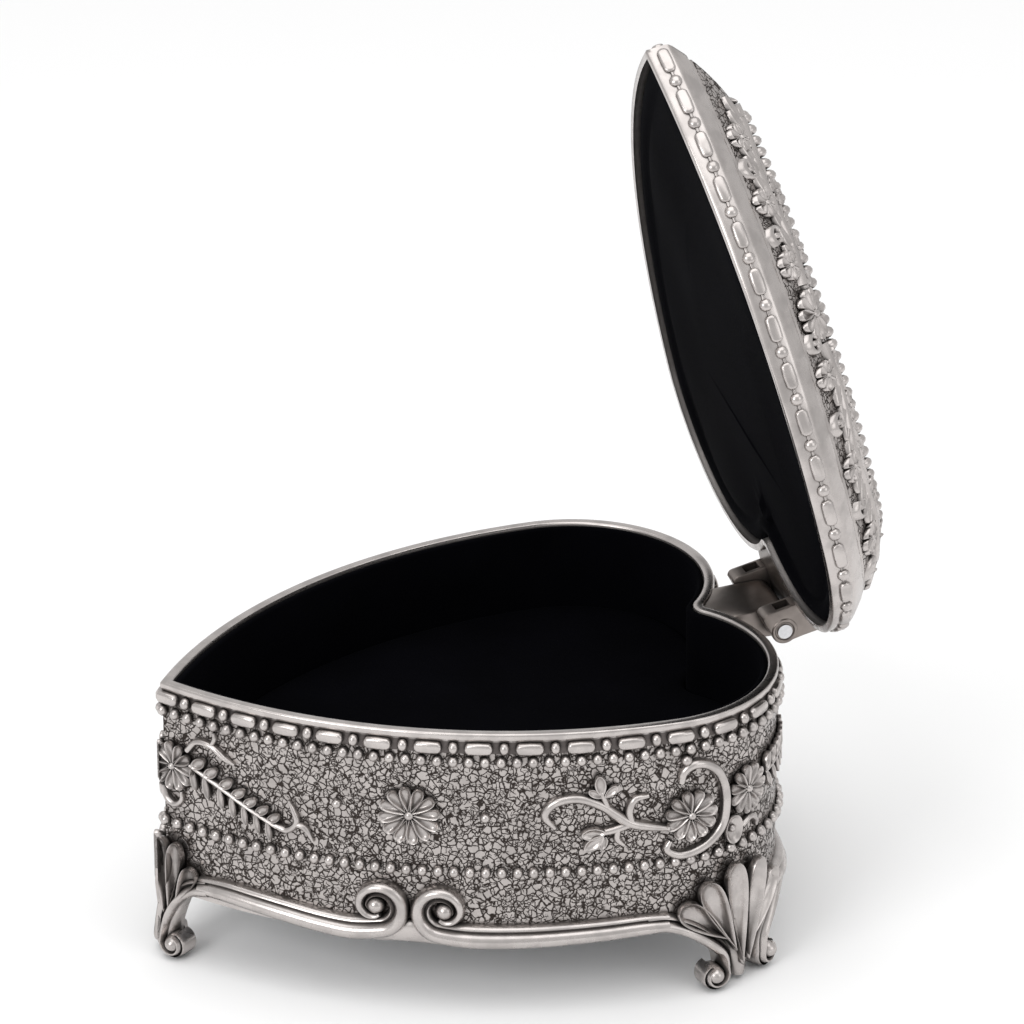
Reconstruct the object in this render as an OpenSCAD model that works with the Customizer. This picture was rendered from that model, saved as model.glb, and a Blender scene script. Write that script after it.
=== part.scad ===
// Heart-shaped musical trinket box: cast case on three scroll feet, hinged domed lid,
// velvet jewel compartment, and an 18-note wind-up movement under its false floor.
// Millimetres. +Z up, the tip of the heart towards -Y, the hinge towards +Y.

/* [Case] */
// Distance from the centre line of the two lobes to the tip of the heart
tip_reach = 85.3; // [84:0.1:87]
// Radius of each lobe
lobe_r = 26.9; // [26:0.1:28]
// Half the distance between the lobe centres
lobe_x = 18.5; // [17.5:0.1:19]
// Radius of the long side of the heart
flank_r = 103.5; // [98:0.5:110]
// Radius of the fillet in the notch
notch_r = 1.6; // [1.2:0.1:2.2]
// Height of the rim above the table
rim_h = 56; // [55:0.5:60]
// Height of the wall's lower edge above the table
wall_foot = 12.2; // [12.2:0.1:13]
// Thickness of the cast wall
wall_t = 2; // [1.6:0.1:2.2]
// How far the scroll mouldings stand out from the wall
moulding_proud = 1.8; // [1:0.1:2.4]

/* [Lid] */
// Opening angle of the lid as drawn
lid_open = 76.9; // [0:0.1:92]
// Height of the lid's straight side
lid_side_h = 4.3; // [4:0.1:5]
// Height of the lid's crown above the rim
lid_crown_h = 16.6; // [14:0.1:19]
// Thickness of the lid casting
lid_t = 1.4; // [1.2:0.1:1.8]
// Gap between the rim and the closed lid
lid_gap = 0.15; // [0.1:0.05:0.4]

/* [Hinge] */
// Distance of the hinge axis behind the lobe centre line
hinge_y = 32.4; // [32:0.1:33]
// Depth of the hinge axis below the rim
hinge_drop = 2.4; // [2.2:0.1:2.6]
// Radius of the hinge pin
hinge_pin_r = 1.4; // [1.2:0.05:1.5]
// Half width of the bracket between the lugs
tongue_half_w = 6.4; // [5.5:0.1:6.8]
// Outer half width across the lugs
lug_half_w = 10.6; // [9.8:0.1:11]

/* [Lining] */
// Thickness of the velvet on its card along the wall
lining_t = 1.2; // [0.8:0.1:1.5]
// Height of the underside of the false floor
floor_h = 36; // [36:0.5:38]
// Thickness of the false floor board
board_t = 1.2; // [1:0.1:1.5]
// Thickness of the velvet pad on the false floor
pad_t = 2.6; // [2:0.1:3]

/* [Movement] */
// Thickness of the steel base plate of the case
base_t = 1.2; // [1:0.1:1.2]
// Thickness of the movement's cast bedplate
bed_t = 2.2; // [2:0.1:2.2]
// Distance of the cylinder axis in front of the lobe centre line
axis_back = 12; // [11:0.5:13]
// Height of the cylinder axis above the table
axis_h = 26; // [26:0.1:26.2]
// Number of notes, which is the number of comb teeth
notes = 18; // [18:1:18]
// Spacing of the notes along the cylinder
note_pitch = 1; // [1:0.05:1]
// Radius of the brass cylinder
cyl_r = 6.5; // [6:0.1:6.5]
// Height of the cylinder's pins
pin_h = 0.7; // [0.5:0.1:0.7]
// Number of teeth of the crown gear on the spring barrel
crown_n = 36; // [36:1:36]
// Number of teeth of the pinion on the cylinder shaft
pinion_n = 10; // [10:1:10]
// Number of teeth of the gear on the cylinder's end
cyl_gear_n = 40; // [40:1:40]
// Number of teeth of the governor's pinion
gov_pinion_n = 10; // [10:1:10]
// Number of teeth of the governor's worm wheel
worm_wheel_n = 30; // [30:1:30]
// Number of teeth of the winding ratchet
ratchet_n = 24; // [12:12:24]

/* [Key] */
// Distance between the middles of the key's two wings
key_span = 12; // [11:0.5:13]
// Radius of each wing of the key
key_wing_r = 4; // [3.5:0.1:4]
// Thickness of the key's wings
key_t = 1.6; // [1.2:0.1:2]

/* [Hidden] */
$fn = 48;

// The lobe centre line lies this far behind the origin, which is the middle of the box
// round the whole object with its lid open
lobe_line_y = 21.24;
play = 0.05;
gap = 0.15;

// Heart outline, drawn from the tip round the right side to the notch
lobe_c = [lobe_x, 0];
tip_p = [0, -tip_reach];
tip_dist = norm(tip_p - lobe_c);
tip_dir = (tip_p - lobe_c) / tip_dist;
along = (pow(flank_r - lobe_r, 2) - pow(flank_r, 2) + pow(tip_dist, 2)) / (2 * tip_dist);
across = sqrt(pow(flank_r - lobe_r, 2) - pow(along, 2));
flank_c = lobe_c + along * tip_dir - across * [-tip_dir.y, tip_dir.x];
notch_c = [0, sqrt(pow(lobe_r + notch_r, 2) - pow(lobe_x, 2))];
flank_end = atan2(lobe_c.y - flank_c.y, lobe_c.x - flank_c.x);
lobe_end = atan2(notch_c.y - lobe_c.y, notch_c.x - lobe_c.x);
flank_steps = 20;
lobe_steps = 22;
notch_steps = 4;

function tip_y(inset) = flank_c.y - sqrt(pow(flank_r - inset, 2) - pow(flank_c.x, 2));
function tip_angle(inset) = atan2(tip_y(inset) - flank_c.y, -flank_c.x);
function arc(c, r, a0, a1, n) =
    [for (i = [0 : n]) c + r * [cos(a0 + (a1 - a0) * i / n), sin(a0 + (a1 - a0) * i / n)]];
function skip(list, first, last) = [for (i = [first : len(list) - 1 - last]) list[i]];
function half_heart(inset) = concat(
    arc(flank_c, flank_r - inset, tip_angle(inset), flank_end, flank_steps),
    skip(arc(lobe_c, lobe_r - inset, flank_end, lobe_end, lobe_steps), 1, 0),
    skip(arc(notch_c, notch_r + inset, lobe_end - 180, -90, notch_steps), 1, 0));
function mirrored(list) = [for (i = [len(list) - 1 : -1 : 0]) [-list[i].x, list[i].y]];
function heart(inset) = concat(half_heart(inset), skip(mirrored(half_heart(inset)), 1, 1));

module heart_slab(inset, z0, z1) {
    translate([0, 0, z0])
        linear_extrude(z1 - z0)
            polygon(heart(inset));
}

module heart_ring(outer, inner, z0, z1) {
    translate([0, 0, z0])
        linear_extrude(z1 - z0)
            difference() {
                polygon(heart(outer));
                polygon(heart(inner));
            }
}

// A solid through rings of [inset, height], from the lowest to the highest, capped at both ends
module heart_loft(rings) {
    n = len(heart(0));
    points = [for (ring = rings) for (p = heart(ring[0])) [p.x, p.y, ring[1]]];
    last = (len(rings) - 1) * n;
    lower = [for (k = [0 : len(rings) - 2]) for (i = [0 : n - 1])
        [k * n + i, (k + 1) * n + i, k * n + (i + 1) % n]];
    upper = [for (k = [0 : len(rings) - 2]) for (i = [0 : n - 1])
        [k * n + (i + 1) % n, (k + 1) * n + i, (k + 1) * n + (i + 1) % n]];
    bottom_cap = [for (i = [0 : n - 1]) i];
    top_cap = [for (i = [n - 1 : -1 : 0]) last + i];
    polyhedron(points, concat([bottom_cap], lower, upper, [top_cap]));
}

module on_origin() {
    translate([0, lobe_line_y, 0])
        children();
}

// Case ------------------------------------------------------------------

pewter = "#b9b3b1";
screw_r = 1;
screw_hole_r = screw_r + 0.15;
post_r = 3.4;
post_places = [[40.6, 2], [-40.6, 2], [0, -79.8]];
base_top = 13 + base_t;

module case_wall() {
    color(pewter) on_origin() difference() {
        union() {
            heart_ring(0, wall_t, wall_foot, rim_h);
            intersection() {
                for (p = post_places)
                    translate([p.x, p.y, base_top])
                        cylinder(r = post_r, h = floor_h - base_top);
                heart_slab(wall_t / 2, base_top, floor_h);
            }
        }
        for (p = post_places)
            translate([p.x, p.y, base_top - 1])
                cylinder(r = screw_hole_r, h = 9);
    }
}

arbor_r = 1.45;
barrel_x = -13;
arbor_clear_r = 2.4;
bed_screw_places = [[-20, -28], [-20, 10], [8, -28]];
fan_x = 22.6;
stop_rest_x = 29.8;
stop_travel = 3;
stop_wire_r = 0.6;
stop_slot_half = 1.2;
wheel_to_worm = 7.3;
gov_offset = 7.5;
fan_y = -axis_back - gov_offset - wheel_to_worm;

module base_plate() {
    color("silver") on_origin() difference() {
        heart_slab(wall_t + gap, base_top - base_t, base_top);
        translate([barrel_x, -axis_back, 10])
            cylinder(r = arbor_clear_r, h = 6);
        for (p = post_places)
            translate([p.x, p.y, 10])
                cylinder(r = screw_hole_r, h = 6);
        for (p = bed_screw_places)
            translate([p.x, p.y, 10])
                cylinder(r = screw_hole_r, h = 6);
        translate([stop_rest_x - stop_travel - 1.2, fan_y - stop_slot_half, 10])
            cube([stop_travel + 2.4, 2 * stop_slot_half, 6]);
    }
}

module pan_screw(head_r, head_h, reach) {
    difference() {
        union() {
            translate([0, 0, -head_h])
                cylinder(r = head_r, h = head_h);
            cylinder(r = screw_r, h = reach);
        }
        translate([-head_r, -0.25, -head_h - 0.5])
            cube([2 * head_r, 0.5, 0.9]);
    }
}

module base_screws() {
    color("gainsboro") on_origin()
        for (p = post_places)
            translate([p.x, p.y, base_top - base_t])
                pan_screw(2, 0.9, 8);
}

// Feet and scroll mouldings ----------------------------------------------

deg_per_mm_flank = 180 / (PI * flank_r);
tip_a = tip_angle(0);
curl_r = 3;
curl_h = 2.8;
curl_proud = 2.6;
plaque_proud = 1.8;
leg_in = 2.4;
foot_angle = 29;
curl_spread = 15;
// Petal heads of a side foot: distance along the wall from its middle, height
side_heads = [[-11, 17.8], [-7, 21.2], [-1, 22.6], [5, 21], [10, 16.6]];
tip_heads = [[0.5, 22.4], [4, 20.6], [6.6, 16.6]];
side_head_r = 2;
tip_head_r = 1.4;

// A drawing in (distance along the wall, height), stood up on the wall and given its depth
module stand_on_wall(c, r, a, inward, outward) {
    translate([c.x + r * cos(a), c.y + r * sin(a), 0])
        rotate([90, 0, a + 90])
            translate([0, 0, -inward])
                linear_extrude(inward + outward)
                    children();
}

module petals(heads, head_r, root_half) {
    polygon(concat([for (h = heads) h], [[root_half, 4], [-root_half, 4]]));
    for (h = heads)
        translate(h)
            circle(r = head_r);
}

// A scrolled toe, cut flat where it stands
module curl(c, r, a) {
    stand_on_wall(c, r, a, 1.2, curl_proud) difference() {
        translate([0, curl_h])
            circle(r = curl_r);
        translate([-5, -5])
            square([10, 5]);
    }
}

module foot_side() {
    difference() {
        union() {
            stand_on_wall(lobe_c, lobe_r, foot_angle, 1, plaque_proud)
                petals(side_heads, side_head_r, 3);
            stand_on_wall(lobe_c, lobe_r, foot_angle, leg_in, plaque_proud)
                polygon([[-8, wall_foot + 1], [8, wall_foot + 1], [6, 3], [-6, 3]]);
            for (side = [-1, 1])
                curl(lobe_c, lobe_r, foot_angle + side * curl_spread);
        }
        heart_slab(0, wall_foot, rim_h);
    }
}

module foot_right() {
    color(pewter) on_origin() foot_side();
}

module foot_left() {
    color(pewter) on_origin() mirror([1, 0, 0]) foot_side();
}

module half_foot_tip() {
    toe_a = tip_a + 3.4 * deg_per_mm_flank;
    intersection() {
        union() {
            stand_on_wall(flank_c, flank_r, tip_a, 1, plaque_proud)
                petals(tip_heads, tip_head_r, 2);
            stand_on_wall(flank_c, flank_r, tip_a, leg_in, plaque_proud)
                polygon([[-1, wall_foot + 1], [8, wall_foot + 1], [5, 3], [-1, 3]]);
            curl(flank_c, flank_r, toe_a);
        }
        translate([0, -tip_reach - 10, 0])
            cube([30, 30, rim_h]);
    }
}

module foot_tip() {
    color(pewter) on_origin() difference() {
        union() {
            half_foot_tip();
            mirror([1, 0, 0])
                half_foot_tip();
        }
        heart_slab(0, wall_foot, rim_h);
    }
}

volute_r = 4.4;
volute_h = 19.4;
rail_h = 2.8;
rail_z = 11.3;

// A strip of moulding along a flank or a lobe, between two angles about its centre
module rail(c, r, a0, a1, n, z) {
    translate([0, 0, z])
        linear_extrude(rail_h)
            polygon(concat(arc(c, r, a0, a1, n), arc(c, r + moulding_proud, a1, a0, n)));
}

module volute(c, r, a) {
    translate([c.x + r * cos(a), c.y + r * sin(a), volute_h])
        rotate([90, 0, a + 90])
            translate([0, 0, -1])
                cylinder(r = volute_r, h = moulding_proud + 1);
}

module front_moulding() {
    difference() {
        union() {
            rail(flank_c, flank_r, tip_a + 8 * deg_per_mm_flank, tip_a + 48 * deg_per_mm_flank, 10, rail_z);
            rail(flank_c, flank_r, tip_a + 58 * deg_per_mm_flank, tip_a + 99 * deg_per_mm_flank, 10, rail_z);
            for (u = [45.8, 57.5])
                volute(flank_c, flank_r, tip_a + u * deg_per_mm_flank);
            rail(flank_c, flank_r, tip_a + 44 * deg_per_mm_flank, tip_a + 59 * deg_per_mm_flank, 5, 13);
        }
        heart_slab(0, wall_foot - 2, rim_h);
    }
}

module rear_moulding() {
    difference() {
        union() {
            rail(lobe_c, lobe_r, 56, 100, 10, rail_z);
            rail(lobe_c, lobe_r, 94, 102, 3, 13);
            volute(lobe_c, lobe_r, 98);
        }
        heart_slab(0, wall_foot - 2, rim_h);
    }
}

module front_moulding_right() {
    color(pewter) on_origin() front_moulding();
}

module front_moulding_left() {
    color(pewter) on_origin() mirror([1, 0, 0]) front_moulding();
}

module rear_moulding_right() {
    color(pewter) on_origin() rear_moulding();
}

module rear_moulding_left() {
    color(pewter) on_origin() mirror([1, 0, 0]) rear_moulding();
}

// Lining -------------------------------------------------------------------

board_top = floor_h + board_t;
lining_gap = 0.05;

module wall_lining() {
    color("#101014") on_origin()
        heart_ring(wall_t + lining_gap, wall_t + lining_gap + lining_t, board_top, rim_h - 0.5);
}

module floor_board() {
    color("tan") on_origin()
        heart_slab(wall_t + gap, floor_h, board_top);
}

module floor_pad() {
    color("#101014") on_origin()
        heart_slab(wall_t + lining_t + 2 * gap, board_top, board_top + pad_t);
}

// Hinge ----------------------------------------------------------------------

hinge_h = rim_h - hinge_drop;
tongue_r = 3;
tongue_top = hinge_h + 2;
tongue_bottom = hinge_h - 3;

module along_hinge(x0, x1, r) {
    translate([x0, hinge_y, hinge_h])
        rotate([0, 90, 0])
            cylinder(r = r, h = x1 - x0);
}

module hinge_bracket() {
    color("#8b8785") on_origin() difference() {
        union() {
            translate([-tongue_half_w, notch_c.y - notch_r - 1, tongue_bottom])
                cube([2 * tongue_half_w, hinge_y - notch_c.y + notch_r + 1, tongue_top - tongue_bottom]);
            along_hinge(-tongue_half_w, tongue_half_w, tongue_r);
        }
        heart_slab(0, 40, rim_h + 10);
        along_hinge(-tongue_half_w - 1, tongue_half_w + 1, hinge_pin_r + 0.03);
    }
}

module hinge_pin() {
    color("gainsboro") on_origin()
        along_hinge(-lug_half_w - 0.4, lug_half_w + 0.4, hinge_pin_r);
}

// The lid is drawn closed and turned about the hinge axis
module as_opened() {
    translate([0, hinge_y, hinge_h])
        rotate([-lid_open, 0, 0])
            translate([0, -hinge_y, -hinge_h])
                children();
}

lug_inner = tongue_half_w + 0.2;
web_bottom = hinge_h + tongue_r + 0.3;
web_top = rim_h + lid_side_h - 0.3;

module lug() {
    hull() {
        translate([lug_inner, hinge_y, hinge_h])
            rotate([0, 90, 0])
                cylinder(r = 2.5, h = lug_half_w - lug_inner);
        translate([lug_inner, hinge_y - 3.4, hinge_h - 2.4])
            rotate([0, 90, 0])
                cylinder(r = 1.1, h = lug_half_w - lug_inner);
        translate([lug_inner, hinge_y - 4.5, web_bottom])
            cube([lug_half_w - lug_inner, 6.8, web_top - web_bottom]);
    }
}

module lid_hinge_yoke() {
    color("#8b8785") on_origin() as_opened() difference() {
        union() {
            translate([-lug_half_w, notch_c.y - notch_r - 1, web_bottom])
                cube([2 * lug_half_w, hinge_y - 3 - notch_c.y + notch_r + 1, web_top - web_bottom]);
            lug();
            mirror([1, 0, 0])
                lug();
        }
        heart_slab(0, rim_h - 8, rim_h + 20);
        along_hinge(-lug_half_w - 1, lug_half_w + 1, hinge_pin_r + play);
    }
}

// Lid ------------------------------------------------------------------------

crown_inset = 24;
bevel_in = 3.2;
bevel_top = lid_side_h + 3.2;
dome_steps = 7;
lid_bottom = rim_h + lid_gap;
pad_clear = 0.3;
pad_face_h = 0.7;

// Rings of the dome above the bevel, each lowered by drop
function dome_rings(drop) = [for (i = [1 : dome_steps])
    [bevel_in + (crown_inset - bevel_in) * i / dome_steps,
     bevel_top - drop + (lid_crown_h - bevel_top) * (1 - pow(1 - i / dome_steps, 2))]];

module lid_shell() {
    color(pewter) on_origin() as_opened() translate([0, 0, lid_bottom]) difference() {
        heart_loft(concat([[0, 0], [0, lid_side_h], [bevel_in, bevel_top]], dome_rings(0)));
        heart_loft(concat([[lid_t, -1], [lid_t, lid_side_h - 0.8], [bevel_in + 0.4, bevel_top - lid_t]],
            dome_rings(lid_t)));
    }
}

module lid_pad() {
    side_in = lid_t + pad_clear;
    roof_drop = lid_t + pad_clear;
    color("#101014") on_origin() as_opened() translate([0, 0, lid_bottom])
        heart_loft(concat(
            [[12, pad_face_h], [5, pad_face_h + 0.2], [side_in + 0.8, pad_face_h + 0.9]],
            [[side_in, pad_face_h + 2], [side_in + 0.1, lid_side_h - 1.3]],
            [[bevel_in + 0.5, bevel_top - roof_drop]],
            dome_rings(roof_drop)));
}

// Movement: plate and winding ---------------------------------------------------

brass = "goldenrod";
steel = "gainsboro";
bed_top = base_top + bed_t;
bed_x0 = -25;
bed_x1 = 26.4;
bed_y0 = -axis_back - 19;
bed_y1 = -axis_back + 25.6;
ratchet_z = bed_top + 0.2;
barrel_z = bed_top + 1.6;
barrel_r = 9;
barrel_wall = 0.8;
crown_in_r = 7.2;
crown_out_r = 8.8;
crown_pitch_r = 8;
crown_module = 2 * crown_pitch_r / crown_n;
pinion_pitch_r = crown_module * pinion_n / 2;
crown_mid = axis_h - pinion_pitch_r;
crown_root = crown_mid - 0.65;
crown_tip = crown_mid + 0.3;
mesh_x = barrel_x + crown_pitch_r;
key_top = base_top - base_t - 1;
key_hub_h = 3.4;
key_z = 5.4;

module at_barrel() {
    translate([barrel_x, -axis_back, 0])
        children();
}

module bedplate() {
    color("darkgray") on_origin() difference() {
        translate([bed_x0, bed_y0, base_top])
            cube([bed_x1 - bed_x0, bed_y1 - bed_y0, bed_t]);
        at_barrel()
            cylinder(r = arbor_r + play, h = 40);
        for (p = bed_screw_places)
            translate([p.x, p.y, 0])
                cylinder(r = screw_hole_r, h = 40);
        translate([click_x, click_y, 0])
            cylinder(r = click_pin_r + play, h = 40);
        translate([stop_rest_x - stop_travel - 2.7, fan_y - 2.3, 0])
            cube([4, 4.6, 40]);
    }
}

module movement_screws() {
    color(steel) on_origin()
        for (p = bed_screw_places)
            translate([p.x, p.y, base_top - base_t])
                pan_screw(1.9, 0.8, base_t + bed_t + 0.8);
}

module spring_barrel() {
    color(brass) on_origin() at_barrel() difference() {
        union() {
            translate([0, 0, barrel_z])
                cylinder(r = barrel_r, h = crown_root - barrel_z);
            for (i = [0 : crown_n - 1])
                rotate([0, 0, i * 360 / crown_n])
                    translate([crown_in_r, -0.22, crown_root - 0.1])
                        cube([crown_out_r - crown_in_r, 0.44, crown_tip - crown_root + 0.1]);
        }
        translate([0, 0, barrel_z - 1])
            cylinder(r = barrel_r - barrel_wall, h = crown_root - barrel_z + 1 - barrel_wall);
        cylinder(r = arbor_r + 2 * play, h = 40);
    }
}

module barrel_cap() {
    color(brass) on_origin() at_barrel() translate([0, 0, barrel_z]) difference() {
        cylinder(r = barrel_r - barrel_wall - play, h = 0.6);
        translate([0, 0, -1])
            cylinder(r = arbor_r + 2 * play, h = 3);
    }
}

spring_turns = 6;
spring_in_r = 2.4;
spring_out_r = 7.8;
spring_t = 0.25;

function spiral(r0, r1, turns, n) =
    [for (i = [0 : n]) (r0 + (r1 - r0) * i / n) * [cos(360 * turns * i / n), sin(360 * turns * i / n)]];
function reversed(list) = [for (i = [len(list) - 1 : -1 : 0]) list[i]];

module mainspring() {
    inner = spiral(spring_in_r, spring_out_r, spring_turns, 24 * spring_turns);
    outer = spiral(spring_in_r + spring_t, spring_out_r + spring_t, spring_turns, 24 * spring_turns);
    color("slategray") on_origin() at_barrel() translate([0, 0, barrel_z + 0.9])
        linear_extrude(crown_root - barrel_z - barrel_wall - 1.2)
            polygon(concat(outer, reversed(inner)));
}

module winding_arbor() {
    color(steel) on_origin() at_barrel()
        translate([0, 0, key_top - key_hub_h + 0.4])
            cylinder(r = arbor_r, h = crown_tip - key_top + key_hub_h - 0.2);
}

ratchet_r = 4.2;

module ratchet_wheel() {
    step = 360 / ratchet_n;
    color(brass) on_origin() at_barrel() translate([0, 0, ratchet_z]) difference() {
        linear_extrude(1)
            polygon([for (i = [0 : ratchet_n - 1]) for (r = [ratchet_r, ratchet_r - 0.5])
                r * [cos(i * step), sin(i * step)]]);
        translate([0, 0, -1])
            cylinder(r = arbor_r + play, h = 4);
    }
}

click_x = barrel_x + 7.2;
click_y = -axis_back - 5.2;
click_pin_r = 0.65;
click_len = 4.9;
click_angle = 167;

// The click's nose rides just clear of the ratchet's tips
module click() {
    color(steel) on_origin() translate([click_x, click_y, ratchet_z]) {
        cylinder(r = 1.5, h = 0.9);
        rotate([0, 0, click_angle])
            translate([0, -0.6, 0])
                cube([click_len, 1.2, 0.9]);
        translate([0, 0, -bed_t - 0.2])
            cylinder(r = click_pin_r, h = bed_t + 0.3);
    }
}

module winding_key() {
    color(brass) on_origin() at_barrel() difference() {
        union() {
            translate([0, 0, key_top - key_hub_h])
                cylinder(r = 2.6, h = key_hub_h);
            translate([0, key_t / 2, key_z])
                rotate([90, 0, 0])
                    linear_extrude(key_t)
                        difference() {
                            union() {
                                for (side = [-1, 1])
                                    translate([side * key_span / 2, 0])
                                        circle(r = key_wing_r);
                                translate([-2.6, -1.8])
                                    square([5.2, key_top - key_z + 0.8]);
                            }
                            for (side = [-1, 1])
                                translate([side * key_span / 2, 0])
                                    circle(r = key_wing_r / 2);
                        }
        }
        translate([0, 0, key_top - key_hub_h + 0.4])
            cylinder(r = arbor_r + play, h = key_hub_h + 1);
    }
}

// Movement: cylinder and comb -----------------------------------------------------

cyl_x0 = -1.5;
cyl_len = notes * note_pitch + 1;
cyl_x1 = cyl_x0 + cyl_len;
shaft_r = 1.2;
cap_t = 0.8;
spur_module = 0.3;
cyl_gear_r = spur_module * cyl_gear_n / 2;
gov_pinion_r = spur_module * gov_pinion_n / 2;
pins_per_note = 5;

module at_axis(x) {
    translate([x, -axis_back, axis_h])
        rotate([0, 90, 0])
            children();
}

// A gear with slim straight teeth: pitch radius r, addendum a, dedendum d, first tooth at 0 degrees
module slim_gear(r, n, a, d, tip_w, root_w, t) {
    linear_extrude(t)
        union() {
            circle(r = r - d);
            for (i = [0 : n - 1])
                rotate(i * 360 / n)
                    polygon([[r - d - 0.1, -root_w / 2], [r + a, -tip_w / 2], [r + a, tip_w / 2], [r - d - 0.1, root_w / 2]]);
        }
}

module music_cylinder() {
    color(brass) on_origin() at_axis(cyl_x0) difference() {
        cylinder(r = cyl_r, h = cyl_len);
        translate([0, 0, -1])
            cylinder(r = cyl_r - 0.6, h = cyl_len + 2);
    }
}

module cylinder_caps() {
    color(brass) on_origin()
        for (x = [cyl_x0, cyl_x1 - cap_t])
            at_axis(x) difference() {
                cylinder(r = cyl_r - 0.6 - play, h = cap_t);
                translate([0, 0, -1])
                    cylinder(r = shaft_r + play, h = cap_t + 2);
            }
}

// The tune is a made-up pattern: each track's pins are spread by a fixed step
module cylinder_pins() {
    color(steel) on_origin()
        for (note = [0 : notes - 1]) for (k = [0 : pins_per_note - 1])
            at_axis(cyl_x0 + (note + 1) * note_pitch)
                rotate([0, 0, 37 * note + (360 + 11 * note % 7) / pins_per_note * k])
                    rotate([0, 90, 0])
                        translate([0, 0, cyl_r - 0.3])
                            cylinder(r = 0.18, h = pin_h + 0.3, $fn = 16);
}

module cylinder_shaft() {
    color(steel) on_origin() at_axis(mesh_x - 1.4)
        cylinder(r = shaft_r, h = 21.1 - mesh_x + 1.4);
}

module cylinder_pinion() {
    color(brass) on_origin() at_axis(mesh_x - 0.5) difference() {
        rotate([0, 0, 180 / pinion_n])
            slim_gear(pinion_pitch_r, pinion_n, 0.3, 0.5, 0.28, 0.5, 1);
        translate([0, 0, -1])
            cylinder(r = shaft_r + play, h = 4);
    }
}

module cylinder_gear() {
    color(brass) on_origin() at_axis(cyl_x1 + 0.5) difference() {
        rotate([0, 0, 90])
            slim_gear(cyl_gear_r, cyl_gear_n, 0.2, 0.35, 0.2, 0.34, 1.2);
        translate([0, 0, -1])
            cylinder(r = shaft_r + play, h = 4);
    }
}

post_x = -3.6;
post_t = 1.4;

module bearing_post() {
    color("darkgray") on_origin() difference() {
        union() {
            translate([post_x, -axis_back - 3, bed_top])
                cube([post_t, 6, axis_h - bed_top]);
            at_axis(post_x)
                cylinder(r = 3, h = post_t);
        }
        at_axis(post_x - 1)
            cylinder(r = shaft_r + play, h = post_t + 2);
    }
}

comb_t = 0.6;
tooth_w = 0.75;
tooth_len = 13;
heel_len = 5;
comb_tip_y = -axis_back + cyl_r + pin_h + gap;
heel_y = comb_tip_y + tooth_len;
comb_x0 = cyl_x0 + note_pitch / 2;

module comb() {
    color(steel) on_origin() difference() {
        union() {
            for (note = [0 : notes - 1])
                translate([comb_x0 + note_pitch * note + (note_pitch - tooth_w) / 2, comb_tip_y, axis_h - comb_t / 2])
                    cube([tooth_w, tooth_len + 0.5, comb_t]);
            translate([comb_x0, heel_y, axis_h - comb_t / 2])
                cube([notes * note_pitch, heel_len, comb_t]);
        }
        for (x = comb_screw_x)
            translate([x, heel_y + heel_len / 2, axis_h - 2])
                cylinder(r = screw_hole_r, h = 4);
    }
}

comb_screw_x = [comb_x0 + 3, comb_x0 + notes * note_pitch - 3];

module comb_bed() {
    color("darkgray") on_origin() difference() {
        translate([comb_x0, heel_y + 0.2, bed_top])
            cube([notes * note_pitch, heel_len - 0.2, axis_h - comb_t / 2 - bed_top]);
        for (x = comb_screw_x)
            translate([x, heel_y + heel_len / 2, axis_h - 6])
                cylinder(r = screw_hole_r, h = 8);
    }
}

module comb_screws() {
    color(steel) on_origin()
        for (x = comb_screw_x)
            translate([x, heel_y + heel_len / 2, axis_h + comb_t / 2])
                rotate([180, 0, 0])
                    pan_screw(1.9, 0.9, 5);
}

// Movement: governor -----------------------------------------------------------------

gov_y = -axis_back - gov_offset;
wheel_module = 0.4;
wheel_r = wheel_module * worm_wheel_n / 2;
worm_pitch = PI * wheel_module;
frame_x = 19.8;
frame_t = 1.5;
frame_gap = 2.7;
gov_shaft_r = 0.6;
worm_shaft_r = 0.5;
arm_z = axis_h + 3.8;
wheel_x = fan_x - 0.4;
blade_r = 3.4;
blade_z = axis_h + 6.7;

module along_gov(x0, x1, r) {
    translate([x0, gov_y, axis_h])
        rotate([0, 90, 0])
            cylinder(r = r, h = x1 - x0);
}

module governor_frame() {
    far_x = frame_x + frame_t + frame_gap;
    front_y = fan_y - 2.4;
    color("darkgray") on_origin() difference() {
        union() {
            translate([frame_x, front_y, bed_top])
                cube([frame_t, -axis_back + 3 - front_y, arm_z + 1 - bed_top]);
            translate([far_x, front_y, bed_top])
                cube([frame_t, gov_y + 3 - front_y, arm_z + 1 - bed_top]);
            translate([frame_x, front_y, bed_top])
                cube([2 * frame_t + frame_gap, gov_y + 3 - front_y, 1.6]);
            translate([frame_x, front_y, arm_z])
                cube([2 * frame_t + frame_gap, 4, 1]);
        }
        along_gov(frame_x - 1, far_x + frame_t + 1, gov_shaft_r + play);
        at_axis(frame_x - 1)
            cylinder(r = shaft_r + play, h = frame_t + 2);
        translate([fan_x, fan_y, bed_top + 0.6])
            cylinder(r = worm_shaft_r + play, h = 20);
        translate([fan_x, fan_y, axis_h - worm_turns * worm_pitch / 2 - 0.3])
            cylinder(r = worm_tip_r + 0.2, h = worm_turns * worm_pitch + 0.6);
    }
}

module governor_shaft() {
    color(steel) on_origin()
        along_gov(cyl_x1 + 0.3, frame_x + 2 * frame_t + frame_gap - 0.2, gov_shaft_r);
}

module governor_pinion() {
    color(brass) on_origin() translate([cyl_x1 + 0.6, gov_y, axis_h]) rotate([0, 90, 0]) difference() {
        rotate([0, 0, 90 + 180 / gov_pinion_n + 180])
            slim_gear(gov_pinion_r, gov_pinion_n, 0.2, 0.35, 0.2, 0.34, 1);
        translate([0, 0, -1])
            cylinder(r = gov_shaft_r + play, h = 4);
    }
}

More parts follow.
